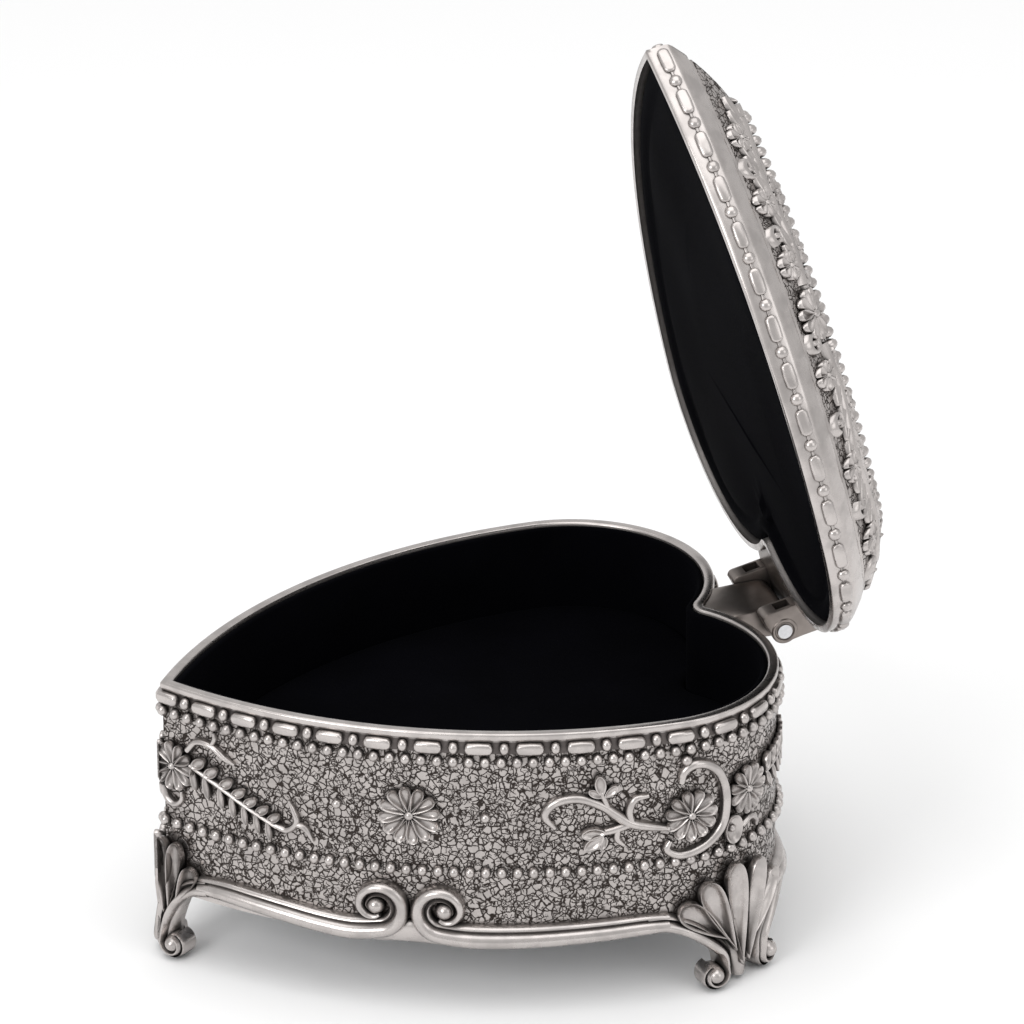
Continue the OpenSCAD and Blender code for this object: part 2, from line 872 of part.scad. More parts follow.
module worm_wheel() {
    color(brass) on_origin() translate([wheel_x, gov_y, axis_h]) rotate([0, 90, 0]) difference() {
        rotate([0, 0, -90])
            slim_gear(wheel_r, worm_wheel_n, 0.3, 0.5, 0.24, 0.45, 0.8);
        translate([0, 0, -1])
            cylinder(r = gov_shaft_r + play, h = 4);
    }
}

worm_turns = 4;
worm_core_r = 0.85;
worm_tip_r = 1.6;
worm_thread_w = 0.42;

module worm_shaft() {
    half = worm_pitch * worm_turns / 2;
    color(steel) on_origin() translate([fan_x, fan_y, 0]) {
        translate([0, 0, bed_top + 0.8])
            cylinder(r = worm_shaft_r, h = blade_z + 2.6 - bed_top - 0.8);
        translate([0, 0, axis_h - half])
            cylinder(r = worm_core_r, h = 2 * half);
        translate([0, 0, axis_h - half])
            worm_thread(2 * half);
    }
}

// A right-hand thread. Its middle passes the wheel half a pitch above and below a wheel tooth
module worm_thread(length) {
    half_angle = 180 * worm_thread_w / worm_pitch;
    linear_extrude(length, twist = -360 * worm_turns, slices = 16 * worm_turns, $fn = 8)
        polygon(concat([[0, 0]], arc([0, 0], worm_tip_r, -90 - half_angle, -90 + half_angle, 4)));
}

module air_brake() {
    color("whitesmoke") on_origin() translate([fan_x, fan_y, blade_z]) difference() {
        union() {
            cylinder(r = 1, h = 2.4);
            translate([-0.2, -blade_r, 0])
                cube([0.4, 2 * blade_r, 2.4]);
        }
        translate([0, 0, -1])
            cylinder(r = worm_shaft_r + play, h = 5);
    }
}

module stop_lever() {
    color("slategray") on_origin() translate([stop_rest_x, fan_y, 0]) {
        translate([0, 0, base_top - base_t - 0.5])
            cylinder(r = stop_wire_r, h = blade_z + 2.4 - base_top + base_t + 0.5);
        translate([-1, -stop_slot_half + 0.1, base_top - base_t - 0.1])
            cube([2, 2 * stop_slot_half - 0.2, base_t + 0.2]);
        translate([-2.4, -2, base_top + 0.1])
            cube([4.8, 4, 0.7]);
        translate([-2.4, -2.4, base_top - base_t - 0.9])
            cube([6, 4.8, 0.8]);
        translate([2, -2.4, base_top - base_t - 2.6])
            cube([1.2, 4.8, 2]);
    }
}

case_wall();
base_plate();
base_screws();
foot_tip();
foot_right();
foot_left();
front_moulding_right();
front_moulding_left();
rear_moulding_right();
rear_moulding_left();
wall_lining();
floor_board();
floor_pad();
hinge_bracket();
hinge_pin();
lid_shell();
lid_hinge_yoke();
lid_pad();
bedplate();
movement_screws();
spring_barrel();
barrel_cap();
mainspring();
winding_arbor();
ratchet_wheel();
click();
winding_key();
music_cylinder();
cylinder_caps();
cylinder_pins();
cylinder_shaft();
cylinder_pinion();
cylinder_gear();
bearing_post();
comb();
comb_bed();
comb_screws();
governor_frame();
governor_shaft();
governor_pinion();
worm_wheel();
worm_shaft();
air_brake();
stop_lever();
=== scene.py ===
# %% [markdown]
# # A heart-shaped musical trinket box in antique silver
# The box is a die-cast case on three scroll feet, with a domed lid that stands open on a
# hinge in the notch of the heart, and black velvet inside. The sizes come from the packed
# model, which is loaded first. This lesson adds what the solids leave out: the cast relief,
# the velvet and the finishes. All sizes are in millimetres until a piece is put in place.

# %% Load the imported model
import math

import bpy
import numpy as np
from mathutils import Matrix, Vector


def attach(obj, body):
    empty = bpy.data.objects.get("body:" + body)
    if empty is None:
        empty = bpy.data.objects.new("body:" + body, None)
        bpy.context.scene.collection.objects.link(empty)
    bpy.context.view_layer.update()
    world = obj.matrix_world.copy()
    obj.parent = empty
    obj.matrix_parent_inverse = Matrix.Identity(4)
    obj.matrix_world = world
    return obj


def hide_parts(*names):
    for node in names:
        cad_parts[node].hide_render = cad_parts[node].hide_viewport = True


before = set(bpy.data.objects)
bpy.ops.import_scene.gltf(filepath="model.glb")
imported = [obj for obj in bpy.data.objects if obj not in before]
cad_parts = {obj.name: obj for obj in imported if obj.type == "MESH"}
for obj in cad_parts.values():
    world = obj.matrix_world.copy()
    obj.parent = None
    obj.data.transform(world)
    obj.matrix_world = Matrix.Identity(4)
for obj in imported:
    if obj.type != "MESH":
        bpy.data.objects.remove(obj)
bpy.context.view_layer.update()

MM = 0.001

# %% [markdown]
# ## The camera
# The box is seen from its right side, a little towards the tip of the heart and from above.
# A long lens from 1.4 m away keeps the outline nearly free of perspective.

# %% Camera
AZIMUTH, ELEVATION, DISTANCE = math.radians(72.07), math.radians(25.807), 1.42354
AIM = Vector((0, 21.24 * MM, 56 * MM))
back = Vector((math.sin(AZIMUTH) * math.cos(ELEVATION), -math.cos(AZIMUTH) * math.cos(ELEVATION),
               math.sin(ELEVATION)))
right = (-back).cross(Vector((0, 0, 1))).normalized()
up = right.cross(-back)
swing = Matrix.Rotation(math.radians(0.6757), 3, up)
tilt = Matrix.Rotation(math.radians(0.8047), 3, swing @ right)
turn = tilt @ swing @ Matrix((right, up, back)).transposed()
bpy.ops.object.camera_add(location=AIM + DISTANCE * back, rotation=turn.to_euler())
camera = bpy.context.active_object
camera.data.lens = 268.19
camera.data.sensor_width = 36
camera.data.clip_end = 20
bpy.context.scene.camera = camera
print("camera at", [round(v, 3) for v in camera.location])

# %% [markdown]
# ## Finishes
# Every finish is worked out from nodes. One function turns an sRGB hex colour to linear, and
# one adds a node: its settings first, then its inputs, which are either a value or a link.

# %% Helpers for materials
def linear(hex_colour):
    parts = [int(hex_colour[i:i + 2], 16) / 255 for i in (1, 3, 5)]
    return [v / 12.92 if v <= 0.04045 else ((v + 0.055) / 1.055) ** 2.4 for v in parts] + [1]


def add(material, kind, settings, inputs):
    node = material.node_tree.nodes.new(kind)
    for key, value in settings.items():
        setattr(node, key, value)
    for key, value in inputs.items():
        if isinstance(value, bpy.types.NodeSocket):
            material.node_tree.links.new(value, node.inputs[key])
        else:
            node.inputs[key].default_value = value
    return node


def new_material(name):
    material = bpy.data.materials.new(name)
    material.use_nodes = True
    material.node_tree.nodes.remove(material.node_tree.nodes["Principled BSDF"])
    return material


def finish_with(material, shader):
    out = material.node_tree.nodes["Material Output"]
    material.node_tree.links.new(shader.outputs["BSDF"], out.inputs["Surface"])
    return material


print("a middle grey is %.3f in linear light" % linear("#808080")[0])


# %% [markdown]
# ### Antique silver on die-cast zinc
# The casting is plated, dipped in a black patina and then buffed. The black stays where a
# buff can't reach: in the corners beside the relief and in the lines of the crackled ground.
# Ambient occlusion within 2.4 mm finds those corners. The darkening it gives the colour is
# partly that patina and partly painted shade, which also darkens the lower edges of the beads
# and mouldings. Voronoi cells of about 1.5 and 1.1 mm, bent by noise, make the crackle: their
# edges are the dark lines, and finer strokes run between them in patches.

# %% Antique silver
# The dark colours below are the patina, and where ambient occlusion darkens corners they are also painted
# shade.
PATINA_AND_PAINTED_SHADE, GREY_PATINA_AND_PAINTED_SHADE = "#1E1A19", "#3C3633"
SOFT_STEP = {"interpolation_type": "SMOOTHSTEP"}


def crackle(m, place):
    """1 on the flat islands and 0 in the lines between them."""
    bend = add(m, "ShaderNodeTexNoise", {}, {"Vector": place, "Scale": 1 / (1.1 * MM), "Detail": 2.0})
    bent = add(m, "ShaderNodeVectorMath", {"operation": "MULTIPLY_ADD"},
               {0: bend.outputs["Color"], 1: (0.8 * MM,) * 3, 2: place}).outputs["Vector"]
    patch = add(m, "ShaderNodeTexNoise", {},
                {"Vector": place, "Scale": 1 / (1.7 * MM), "Detail": 1.0}).outputs["Fac"]
    coarse, fine = [add(m, "ShaderNodeTexVoronoi", {"feature": "DISTANCE_TO_EDGE"},
                        {"Vector": bent, "Scale": 1 / (cell * MM)}).outputs["Distance"]
                    for cell in (1.5, 1.1)]
    signed = add(m, "ShaderNodeMath", {"operation": "SUBTRACT"},
                 {0: bend.outputs["Fac"], 1: 0.5}).outputs["Value"]
    stroke = add(m, "ShaderNodeMath", {"operation": "ABSOLUTE"}, {0: signed}).outputs["Value"]
    ground = None
    for way_off, in_line, on_island, bare, covered in (
            (coarse, 0.25 * 0.105, 0.105, 0.58, 0.62),
            (fine, 0.25 * 0.09, 0.09, 0.47, 0.43),
            (stroke, 0.006, 0.022, 0.55, 0.53)):
        island, smooth = [add(m, "ShaderNodeMapRange", SOFT_STEP,
                              {"Value": value, "From Min": low, "From Max": high}).outputs["Result"]
                          for value, low, high in ((way_off, in_line, on_island), (patch, bare, covered))]
        layer = add(m, "ShaderNodeMath", {"operation": "MAXIMUM"}, {0: island, 1: smooth}).outputs["Value"]
        if ground is not None:
            layer = add(m, "ShaderNodeMath", {"operation": "MULTIPLY"},
                        {0: ground, 1: layer}).outputs["Value"]
        ground = layer
    return ground


def antique_silver(name, crackled=False, buffed="#C3BDBA", dull=0.0):
    m = new_material(name)
    place = add(m, "ShaderNodeTexCoord", {}, {}).outputs["Object"]
    # Ambient occlusion darkens the colour in corners and at the lower edges of beads: part patina, part
    # painted shade.
    corners = add(m, "ShaderNodeAmbientOcclusion", {"samples": 8}, {"Distance": 2.4 * MM}).outputs["AO"]
    cloudy = add(m, "ShaderNodeTexNoise", {},
                 {"Vector": place, "Scale": 1 / (4 * MM), "Detail": 4.0}).outputs["Fac"]
    buff_reach_and_painted_light = add(m, "ShaderNodeMapRange", SOFT_STEP,
                  {"Value": corners, "From Min": 0.14, "From Max": 0.86}).outputs["Result"]
    uneven = add(m, "ShaderNodeMapRange", SOFT_STEP,
                 {"Value": cloudy, "From Min": 0.3, "From Max": 0.62, "To Min": 0.8,
                  "To Max": 1.0}).outputs["Result"]
    buffed_and_painted_light = add(m, "ShaderNodeMath", {"operation": "MULTIPLY"}, {0: buff_reach_and_painted_light, 1: uneven}).outputs["Value"]
    height, depth = cloudy, 0.03 * MM
    if crackled:
        height, depth = crackle(m, place), 0.1 * MM
        buffed_and_painted_light = add(m, "ShaderNodeMath", {"operation": "MULTIPLY"}, {0: buffed_and_painted_light, 1: height}).outputs["Value"]
    # The colour mix puts the dark colour, patina together with painted shade, where occlusion is high.
    colour = add(m, "ShaderNodeMix", {"data_type": "RGBA"},
                 {0: buffed_and_painted_light, 6: linear(GREY_PATINA_AND_PAINTED_SHADE if crackled else PATINA_AND_PAINTED_SHADE), 7: linear(buffed)}).outputs[2]
    rough = add(m, "ShaderNodeMapRange", SOFT_STEP,
                {"Value": buffed_and_painted_light, "To Min": 0.65, "To Max": 0.27 + dull}).outputs["Result"]
    bump = add(m, "ShaderNodeBump", {}, {"Height": height, "Distance": depth, "Strength": 0.9})
    return finish_with(m, add(m, "ShaderNodeBsdfPrincipled", {},
                              {"Base Color": colour, "Metallic": 1.0, "Roughness": rough,
                               "Normal": bump.outputs["Normal"]}))


SILVER = antique_silver("antique_silver_buffed")
GROUND = antique_silver("antique_silver_crackled", True, "#B6B0AD")
DARK_BAND = antique_silver("antique_silver_in_patina", False, "#6E6866", 0.15)
HINGE = antique_silver("dark_patinated_casting", False, "#8C847F", 0.06)
print("silver finishes:", SILVER.name, GROUND.name)

# %% [markdown]
# ### The other metals, nylon, card and velvet
# The hinge is the same casting left in its dark patina. The movement's plates are raw zinc,
# its wheels brass and its pins steel, all turned or stamped, so each is a metal with a fine
# grain and a little uneven roughness. The velvet is a dense black pile: hardly any colour,
# fully rough, with a sheen where it is seen along the pile, and tufts half a millimetre wide.

# %% Plain finishes
def grained(name, low, high, grain, rough, metallic, depth=0.01):
    m = new_material(name)
    place = add(m, "ShaderNodeTexCoord", {}, {}).outputs["Object"]
    cloud = add(m, "ShaderNodeTexNoise", {},
                {"Vector": place, "Scale": 1 / (grain * MM), "Detail": 4.0}).outputs["Fac"]
    colour = add(m, "ShaderNodeMix", {"data_type": "RGBA"},
                 {0: cloud, 6: linear(low), 7: linear(high)}).outputs[2]
    spread = add(m, "ShaderNodeMapRange", {},
                 {"Value": cloud, "To Min": rough - 0.08, "To Max": rough + 0.08}).outputs["Result"]
    bump = add(m, "ShaderNodeBump", {}, {"Height": cloud, "Distance": depth * MM, "Strength": 0.6})
    return finish_with(m, add(m, "ShaderNodeBsdfPrincipled", {},
                              {"Base Color": colour, "Metallic": metallic, "Roughness": spread,
                               "Normal": bump.outputs["Normal"]}))


STEEL_SHEET = grained("rolled_steel_sheet", "#8F9092", "#B5B6B8", 1.5, 0.35, 1.0)
STEEL = grained("turned_bright_steel", "#B4B4B6", "#DCDCDE", 0.8, 0.22, 1.0)
BRASS = grained("stamped_brass", "#B08D45", "#D6B266", 1.2, 0.28, 1.0)
ZINC = grained("raw_zinc_casting", "#7E7F80", "#A6A7A8", 0.9, 0.5, 1.0, 0.03)
NYLON = grained("moulded_white_nylon", "#DEDDD6", "#EFEEE8", 2.0, 0.45, 0.0)
CARD = grained("grey_pasteboard", "#A39A8A", "#BDB4A2", 0.6, 0.85, 0.0, 0.04)


def velvet():
    m = new_material("black_velvet_pile")
    place = add(m, "ShaderNodeTexCoord", {}, {}).outputs["Object"]
    tufts = add(m, "ShaderNodeTexNoise", {},
                {"Vector": place, "Scale": 1 / (0.5 * MM), "Detail": 2.0}).outputs["Fac"]
    nap = add(m, "ShaderNodeTexNoise", {},
              {"Vector": place, "Scale": 1 / (14 * MM), "Detail": 2.0}).outputs["Fac"]
    colour = add(m, "ShaderNodeMix", {"data_type": "RGBA"},
                 {0: nap, 6: linear("#010102"), 7: linear("#06060A")}).outputs[2]
    bump = add(m, "ShaderNodeBump", {}, {"Height": tufts, "Distance": 0.15 * MM, "Strength": 0.5})
    return finish_with(m, add(m, "ShaderNodeBsdfPrincipled", {},
                              {"Base Color": colour, "Roughness": 0.95, "Specular IOR Level": 0.03,
                               "Sheen Weight": 0.004,
                               "Sheen Roughness": 0.4, "Sheen Tint": linear("#8088A8"),
                               "Normal": bump.outputs["Normal"]}))


VELVET = velvet()
print("finishes:", len(bpy.data.materials))

# %% [markdown]
# ## The heart outline
# The outline is three arcs a side: a long flank from the tip, a lobe, and a small fillet in
# the notch. u is the distance in millimetres along it from the tip, on the right side.
# Everything on the wall is drawn flat, as (u, height, depth), and then laid on the outline.

# %% Arcs of the outline
TIP, LOBE_R, LOBE_X, FLANK_R, NOTCH_R = 85.3, 26.9, 18.5, 103.5, 1.6
LOBE_LINE, WALL_FOOT, WALL = 21.24, 13.2, 2.0
LOBE_C = np.array([LOBE_X, 0.0])
tip_way = np.array([0.0, -TIP]) - LOBE_C
tip_far = np.linalg.norm(tip_way)
tip_way = tip_way / tip_far
along = ((FLANK_R - LOBE_R) ** 2 - FLANK_R ** 2 + tip_far ** 2) / (2 * tip_far)
across = math.sqrt((FLANK_R - LOBE_R) ** 2 - along ** 2)
FLANK_C = LOBE_C + along * tip_way - across * np.array([-tip_way[1], tip_way[0]])
NOTCH_C = np.array([0.0, math.sqrt((LOBE_R + NOTCH_R) ** 2 - LOBE_X ** 2)])
FLANK_END = math.atan2(-FLANK_C[1], LOBE_X - FLANK_C[0])
LOBE_END = math.atan2(NOTCH_C[1], -LOBE_X)


def tip_angle(inset):
    y = FLANK_C[1] - math.sqrt((FLANK_R - inset) ** 2 - FLANK_C[0] ** 2)
    return math.atan2(y - FLANK_C[1], -FLANK_C[0])


U_LOBE = FLANK_R * (FLANK_END - tip_angle(0))
U_NOTCH = U_LOBE + LOBE_R * (LOBE_END - FLANK_END)
U_END = U_NOTCH + NOTCH_R * (LOBE_END - math.pi / 2)
print("flank %.1f mm, to the notch %.1f mm, half outline %.1f mm" % (U_LOBE, U_NOTCH, U_END))


def outline(u, inset=0.0):
    """Places and outward directions at u along the right side, that far inside the wall's outer face."""
    u = np.clip(np.asarray(u, float), 0.0, U_END)
    start = tip_angle(inset)
    flank = start + u / U_LOBE * (FLANK_END - start)
    lobe = FLANK_END + (u - U_LOBE) / (U_NOTCH - U_LOBE) * (LOBE_END - FLANK_END)
    notch = LOBE_END - math.pi + (u - U_NOTCH) / (U_END - U_NOTCH) * (math.pi / 2 - LOBE_END)
    angle = np.where(u < U_LOBE, flank, np.where(u < U_NOTCH, lobe, notch))
    way = np.stack([np.cos(angle), np.sin(angle)], -1)
    in_notch = (u >= U_NOTCH)[..., None]
    centre = np.where((u < U_LOBE)[..., None], FLANK_C, np.where(in_notch, NOTCH_C, LOBE_C))
    radius = np.where(u < U_LOBE, FLANK_R - inset, np.where(u < U_NOTCH, LOBE_R - inset, NOTCH_R + inset))
    return centre + radius[..., None] * way, np.where(in_notch, -way, way)


# %% [markdown]
# ## Putting drawings in place
# The wall's relief stands out square to the wall. The lid's relief is drawn in plan and
# raised onto the dome, as a casting is drawn from its mould. The lid is then turned open
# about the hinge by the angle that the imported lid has.

# %% Wall, lid and hinge places
HINGE_Y, HINGE_Z, LID_OPEN = 32.4, 53.6, math.radians(76.9)
LID_BOTTOM, SIDE_H, BEVEL_IN, BEVEL_TOP, CROWN_IN, CROWN_H = 56.15, 4.3, 3.2, 7.5, 24.0, 16.6


def roof(inset):
    """Height of the lid's outside above its edge, that far inside the outline."""
    t = np.clip((np.asarray(inset, float) - BEVEL_IN) / (CROWN_IN - BEVEL_IN), 0, 1)
    dome = BEVEL_TOP + (CROWN_H - BEVEL_TOP) * (1 - (1 - t) ** 2)
    return np.where(np.asarray(inset) < BEVEL_IN, SIDE_H + np.asarray(inset), dome)


def inset_of(x, y):
    on_lobe = np.arctan2(y, np.abs(x) - LOBE_X) > FLANK_END
    to_lobe = LOBE_R - np.hypot(np.abs(x) - LOBE_X, y)
    to_flank = FLANK_R - np.hypot(np.abs(x) - FLANK_C[0], y - FLANK_C[1])
    on_lobe &= (y > 0) | (np.abs(x) > LOBE_X)
    return np.where(on_lobe, to_lobe, to_flank)


def as_cast(p, side):
    return np.stack([side * p[:, 0], p[:, 1] + LOBE_LINE, p[:, 2]], 1) * MM


def on_wall(p, side):
    foot, way = outline(p[:, 0])
    foot = foot + way * p[:, 2:3]
    return as_cast(np.stack([foot[:, 0], foot[:, 1], p[:, 1]], 1), side)


def opened(p, side):
    c, s = math.cos(-LID_OPEN), math.sin(-LID_OPEN)
    y, z = p[:, 1] - HINGE_Y, p[:, 2] - HINGE_Z
    return as_cast(np.stack([p[:, 0], HINGE_Y + c * y - s * z, HINGE_Z + s * y + c * z], 1), side)


def on_lid_side(p, side):
    foot, way = outline(p[:, 0])
    foot = foot + way * p[:, 2:3]
    return opened(np.stack([foot[:, 0], foot[:, 1], LID_BOTTOM + p[:, 1]], 1), side)


def on_lid(p, side):
    z = LID_BOTTOM + roof(inset_of(p[:, 0], p[:, 1])) + p[:, 2]
    return opened(np.stack([p[:, 0], p[:, 1], z], 1), side)


print("the lid's crown stands %.1f mm above its edge" % roof(CROWN_IN))

# %% [markdown]
# ## Helpers for meshes
# Every piece starts as one of Blender's primitives. skin() puts the points of a grid on rows
# of places, which gives any swept shape, and closes its seams and ends. stamped() copies a
# model to many spots, and settle() lays a finished drawing on the box and names its body.

# %% Helpers for meshes
def points_of(piece):
    co = np.empty(len(piece.data.vertices) * 3)
    piece.data.vertices.foreach_get("co", co)
    return co.reshape(-1, 3)


def put_points(piece, places):
    piece.data.vertices.foreach_set("co", np.asarray(places, float).ravel())
    piece.data.update()


def alone(piece):
    bpy.ops.object.select_all(action="DESELECT")
    piece.select_set(True)
    bpy.context.view_layer.objects.active = piece


def close_up(piece, merge):
    """Seams merged, open ends filled, faces turned outwards."""
    alone(piece)
    bpy.ops.object.mode_set(mode="EDIT")
    bpy.ops.mesh.select_all(action="SELECT")
    bpy.ops.mesh.remove_doubles(threshold=merge)
    bpy.ops.mesh.fill_holes(sides=0)
    bpy.ops.mesh.select_all(action="SELECT")
    bpy.ops.mesh.normals_make_consistent(inside=False)
    bpy.ops.object.mode_set(mode="OBJECT")
    return piece


def skin(places, merge=0.01):
    """A grid primitive with its points put on rows of places, then closed up."""
    rows, columns = places.shape[:2]
    bpy.ops.object.select_all(action="DESELECT")
    bpy.ops.mesh.primitive_grid_add(x_subdivisions=columns - 1, y_subdivisions=rows - 1, size=2)
    piece = bpy.context.active_object
    flat = points_of(piece).round(5)
    order = np.lexsort((flat[:, 0], flat[:, 1]))
    placed = np.empty_like(flat)
    placed[order] = places.reshape(-1, 3)
    put_points(piece, placed)
    return close_up(piece, merge)


def joined(pieces):
    bpy.ops.object.select_all(action="DESELECT")
    for piece in pieces:
        piece.select_set(True)
    bpy.context.view_layer.objects.active = pieces[0]
    if len(pieces) > 1:
        bpy.ops.object.join()
    return bpy.context.active_object


def stamped(model, places):
    """A copy of the model, with its own mesh, at each (x, y, degrees, size)."""
    copies = []
    for x, y, degrees, size in places:
        copy = model.copy()
        copy.data = model.data.copy()
        bpy.context.scene.collection.objects.link(copy)
        turned = Matrix.Rotation(math.radians(degrees), 4, "Z")
        copy.data.transform(Matrix.Translation((x, y, 0)) @ turned @ Matrix.Scale(size, 4))
        copies.append(copy)
    return joined(copies)


def other(piece):
    copy = piece.copy()
    copy.data = piece.data.copy()
    bpy.context.scene.collection.objects.link(copy)
    return copy


def settle(piece, name, where, side, material, body, smooth=50):
    """Puts a drawing in its place on the box, in metres, and gives it its finish."""
    piece.name = piece.data.name = name
    put_points(piece, where(points_of(piece), side))
    if side < 0:
        piece.data.flip_normals()
    if material is not None:
        piece.data.materials.clear()
        piece.data.materials.append(material)
    alone(piece)
    bpy.ops.object.shade_smooth_by_angle(angle=math.radians(smooth))
    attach(piece, body)
    return piece


print("mesh helpers: skin, joined, stamped, other, settle")


# %% [markdown]
# ## Shapes that the relief is made of
# A ribbon is a profile swept along a smooth line. Stems have a half-round profile, and the
# scroll mouldings have a wide roll beside a thin one. A petal is a teardrop that is extruded
# and inset twice, the second time downwards, which gives the raised rim of a spoon.

# %% Ribbon
SUNK = 0.6
HALF_ROUND = [(-1, -1), (-1, 0.15), (-0.8, 0.6), (-0.42, 0.9), (0, 1), (0.42, 0.9), (0.8, 0.6), (1, 0.15),
              (1, -1), (-1, -1)]
TWO_ROLLS = [(-1, -1), (-1, 0.3), (-0.86, 0.72), (-0.5, 1), (-0.1, 0.98), (0.2, 0.72), (0.38, 0.34),
             (0.5, 0.42), (0.68, 0.68), (0.86, 0.58), (1, 0.2), (1, -1), (-1, -1)]


def smooth_line(points, per=6):
    """More points on a smooth line through the given ones."""
    p = np.array(points, float)
    p = np.vstack([2 * p[0] - p[1], p, 2 * p[-1] - p[-2]])
    line = []
    for a, b, c, d in zip(p[:-3], p[1:-2], p[2:-1], p[3:]):
        for t in np.arange(per) / per:
            bend, twist = 2 * a - 5 * b + 4 * c - d, 3 * b - a - 3 * c + d
            line.append(0.5 * (2 * b + (c - a) * t + bend * t ** 2 + twist * t ** 3))
    return np.array(line + [p[-2]])


def ribbon(points, profile=HALF_ROUND, back=SUNK, per=6):
    """points are (x, y, width, height)."""
    line = smooth_line(points, per)
    step = np.gradient(line[:, :2], axis=0)
    step /= np.linalg.norm(step, axis=1)[:, None]
    beside = np.stack([-step[:, 1], step[:, 0]], 1)
    rows = []
    for off, rise in profile:
        xy = line[:, :2] + beside * (off * line[:, 2] / 2)[:, None]
        rows.append(np.column_stack([xy, rise * line[:, 3] if rise > 0 else np.full(len(line), -back)]))
    return skin(np.array(rows))


def curl(x, y, start, end, radii, widths, heights, steps=9, mirror=1):
    """Points of a scroll's end, turning from start to end degrees round (x, y)."""
    t = np.linspace(0, 1, steps)
    a = np.radians(start + (end - start) * t)
    r = radii[0] + (radii[1] - radii[0]) * t
    return [(x + mirror * ri * math.cos(ai), y + ri * math.sin(ai), widths[0] + (widths[1] - widths[0]) * ti,
             heights[0] + (heights[1] - heights[0]) * ti) for ti, ai, ri in zip(t, a, r)]


print("profiles of %d and %d points" % (len(HALF_ROUND), len(TWO_ROLLS)))

# %% [markdown]
# A bead is a ball cut off below its middle, and a bar has round ends and a softened top.
# All relief reaches SUNK millimetres into the casting, so that no gap shows on a curved wall.

# %% Bead, bar and petal
def bead(radius, rise, around=10, rings=6):
    bpy.ops.object.select_all(action="DESELECT")
    bpy.ops.mesh.primitive_uv_sphere_add(segments=around, ring_count=rings, radius=radius)
    piece = bpy.context.active_object
    bpy.ops.object.mode_set(mode="EDIT")
    bpy.ops.mesh.select_all(action="SELECT")
    bpy.ops.mesh.bisect(plane_co=(0, 0, -0.35 * radius), plane_no=(0, 0, 1), use_fill=True, clear_inner=True)
    bpy.ops.object.mode_set(mode="OBJECT")
    piece.data.transform(Matrix.Diagonal((1, 1, rise / radius, 1)))
    return piece


def bar(length, width, rise):
    """A bar with round ends and a softened top."""
    bpy.ops.object.select_all(action="DESELECT")
    bpy.ops.mesh.primitive_circle_add(vertices=16, radius=width / 2, fill_type="NGON")
    piece = bpy.context.active_object
    p = points_of(piece)
    p[:, 0] += np.sign(p[:, 0].round(6)) * (length - width) / 2
    p[:, 2] = -SUNK
    put_points(piece, p)
    bpy.ops.object.mode_set(mode="EDIT")
    bpy.ops.mesh.select_all(action="SELECT")
    bpy.ops.mesh.extrude_region_move(TRANSFORM_OT_translate={"value": (0, 0, SUNK + rise * 0.55)})
    bpy.ops.mesh.inset(thickness=0.1 * width, depth=rise * 0.3)
    bpy.ops.mesh.inset(thickness=0.14 * width, depth=rise * 0.15)
    bpy.ops.mesh.select_all(action="SELECT")
    bpy.ops.mesh.normals_make_consistent(inside=False)
    bpy.ops.object.mode_set(mode="OBJECT")
    return piece


def petal(length, width, rise, root=0.3, point=0.0, rim=0.16, hollow=0.45, blunt=1.0):
    """A spoon from the origin along +x.

    rim and hollow are shares of its width and height, and blunt < 1 squares its ends.
    """
    bpy.ops.object.select_all(action="DESELECT")
    bpy.ops.mesh.primitive_circle_add(vertices=18, radius=1, fill_type="NGON")
    piece = bpy.context.active_object
    p = points_of(piece)
    p[:, 0] = np.sign(p[:, 0]) * np.abs(p[:, 0]) ** blunt
    t = (p[:, 0] + 1) / 2
    swell = (root + (1 - root) * t) * (1 - point * t ** 3)
    p[:, 1] *= swell / np.max(np.abs(p[:, 1]) * swell) * width / 2
    p[:, 0] = length * t
    p[:, 2] = -SUNK
    put_points(piece, p)
    bpy.ops.object.mode_set(mode="EDIT")
    bpy.ops.mesh.select_all(action="SELECT")
    bpy.ops.mesh.extrude_region_move(TRANSFORM_OT_translate={"value": (0, 0, SUNK + rise * 0.8)})
    bpy.ops.mesh.inset(thickness=rim * width * 0.6, depth=rise * 0.2)
    bpy.ops.mesh.inset(thickness=rim * width, depth=-rise * hollow)
    bpy.ops.mesh.select_all(action="SELECT")
    bpy.ops.mesh.normals_make_consistent(inside=False)
    bpy.ops.object.mode_set(mode="OBJECT")
    bpy.ops.object.modifier_add(type="SUBSURF")
    piece.modifiers[-1].levels = piece.modifiers[-1].render_levels = 1
    bpy.ops.object.modifier_apply(modifier=piece.modifiers[-1].name)
    return piece


def drop(*pieces):
    for piece in pieces:
        bpy.data.objects.remove(piece)


def flower(radius, petals, rise=0.9):
    """A daisy round the origin, with a domed middle."""
    model = petal(radius * 0.88, radius * 4.9 / petals, rise, root=0.2, rim=0.13, hollow=1.0, blunt=0.8)
    piece = stamped(model,
                    [(0.12 * radius * math.cos(2 * math.pi * i / petals),
                      0.12 * radius * math.sin(2 * math.pi * i / petals),
                             360 * i / petals, 1) for i in range(petals)])
    drop(model)
    return joined([piece, bead(radius * 0.19, rise * 1.3, 12, 8)])


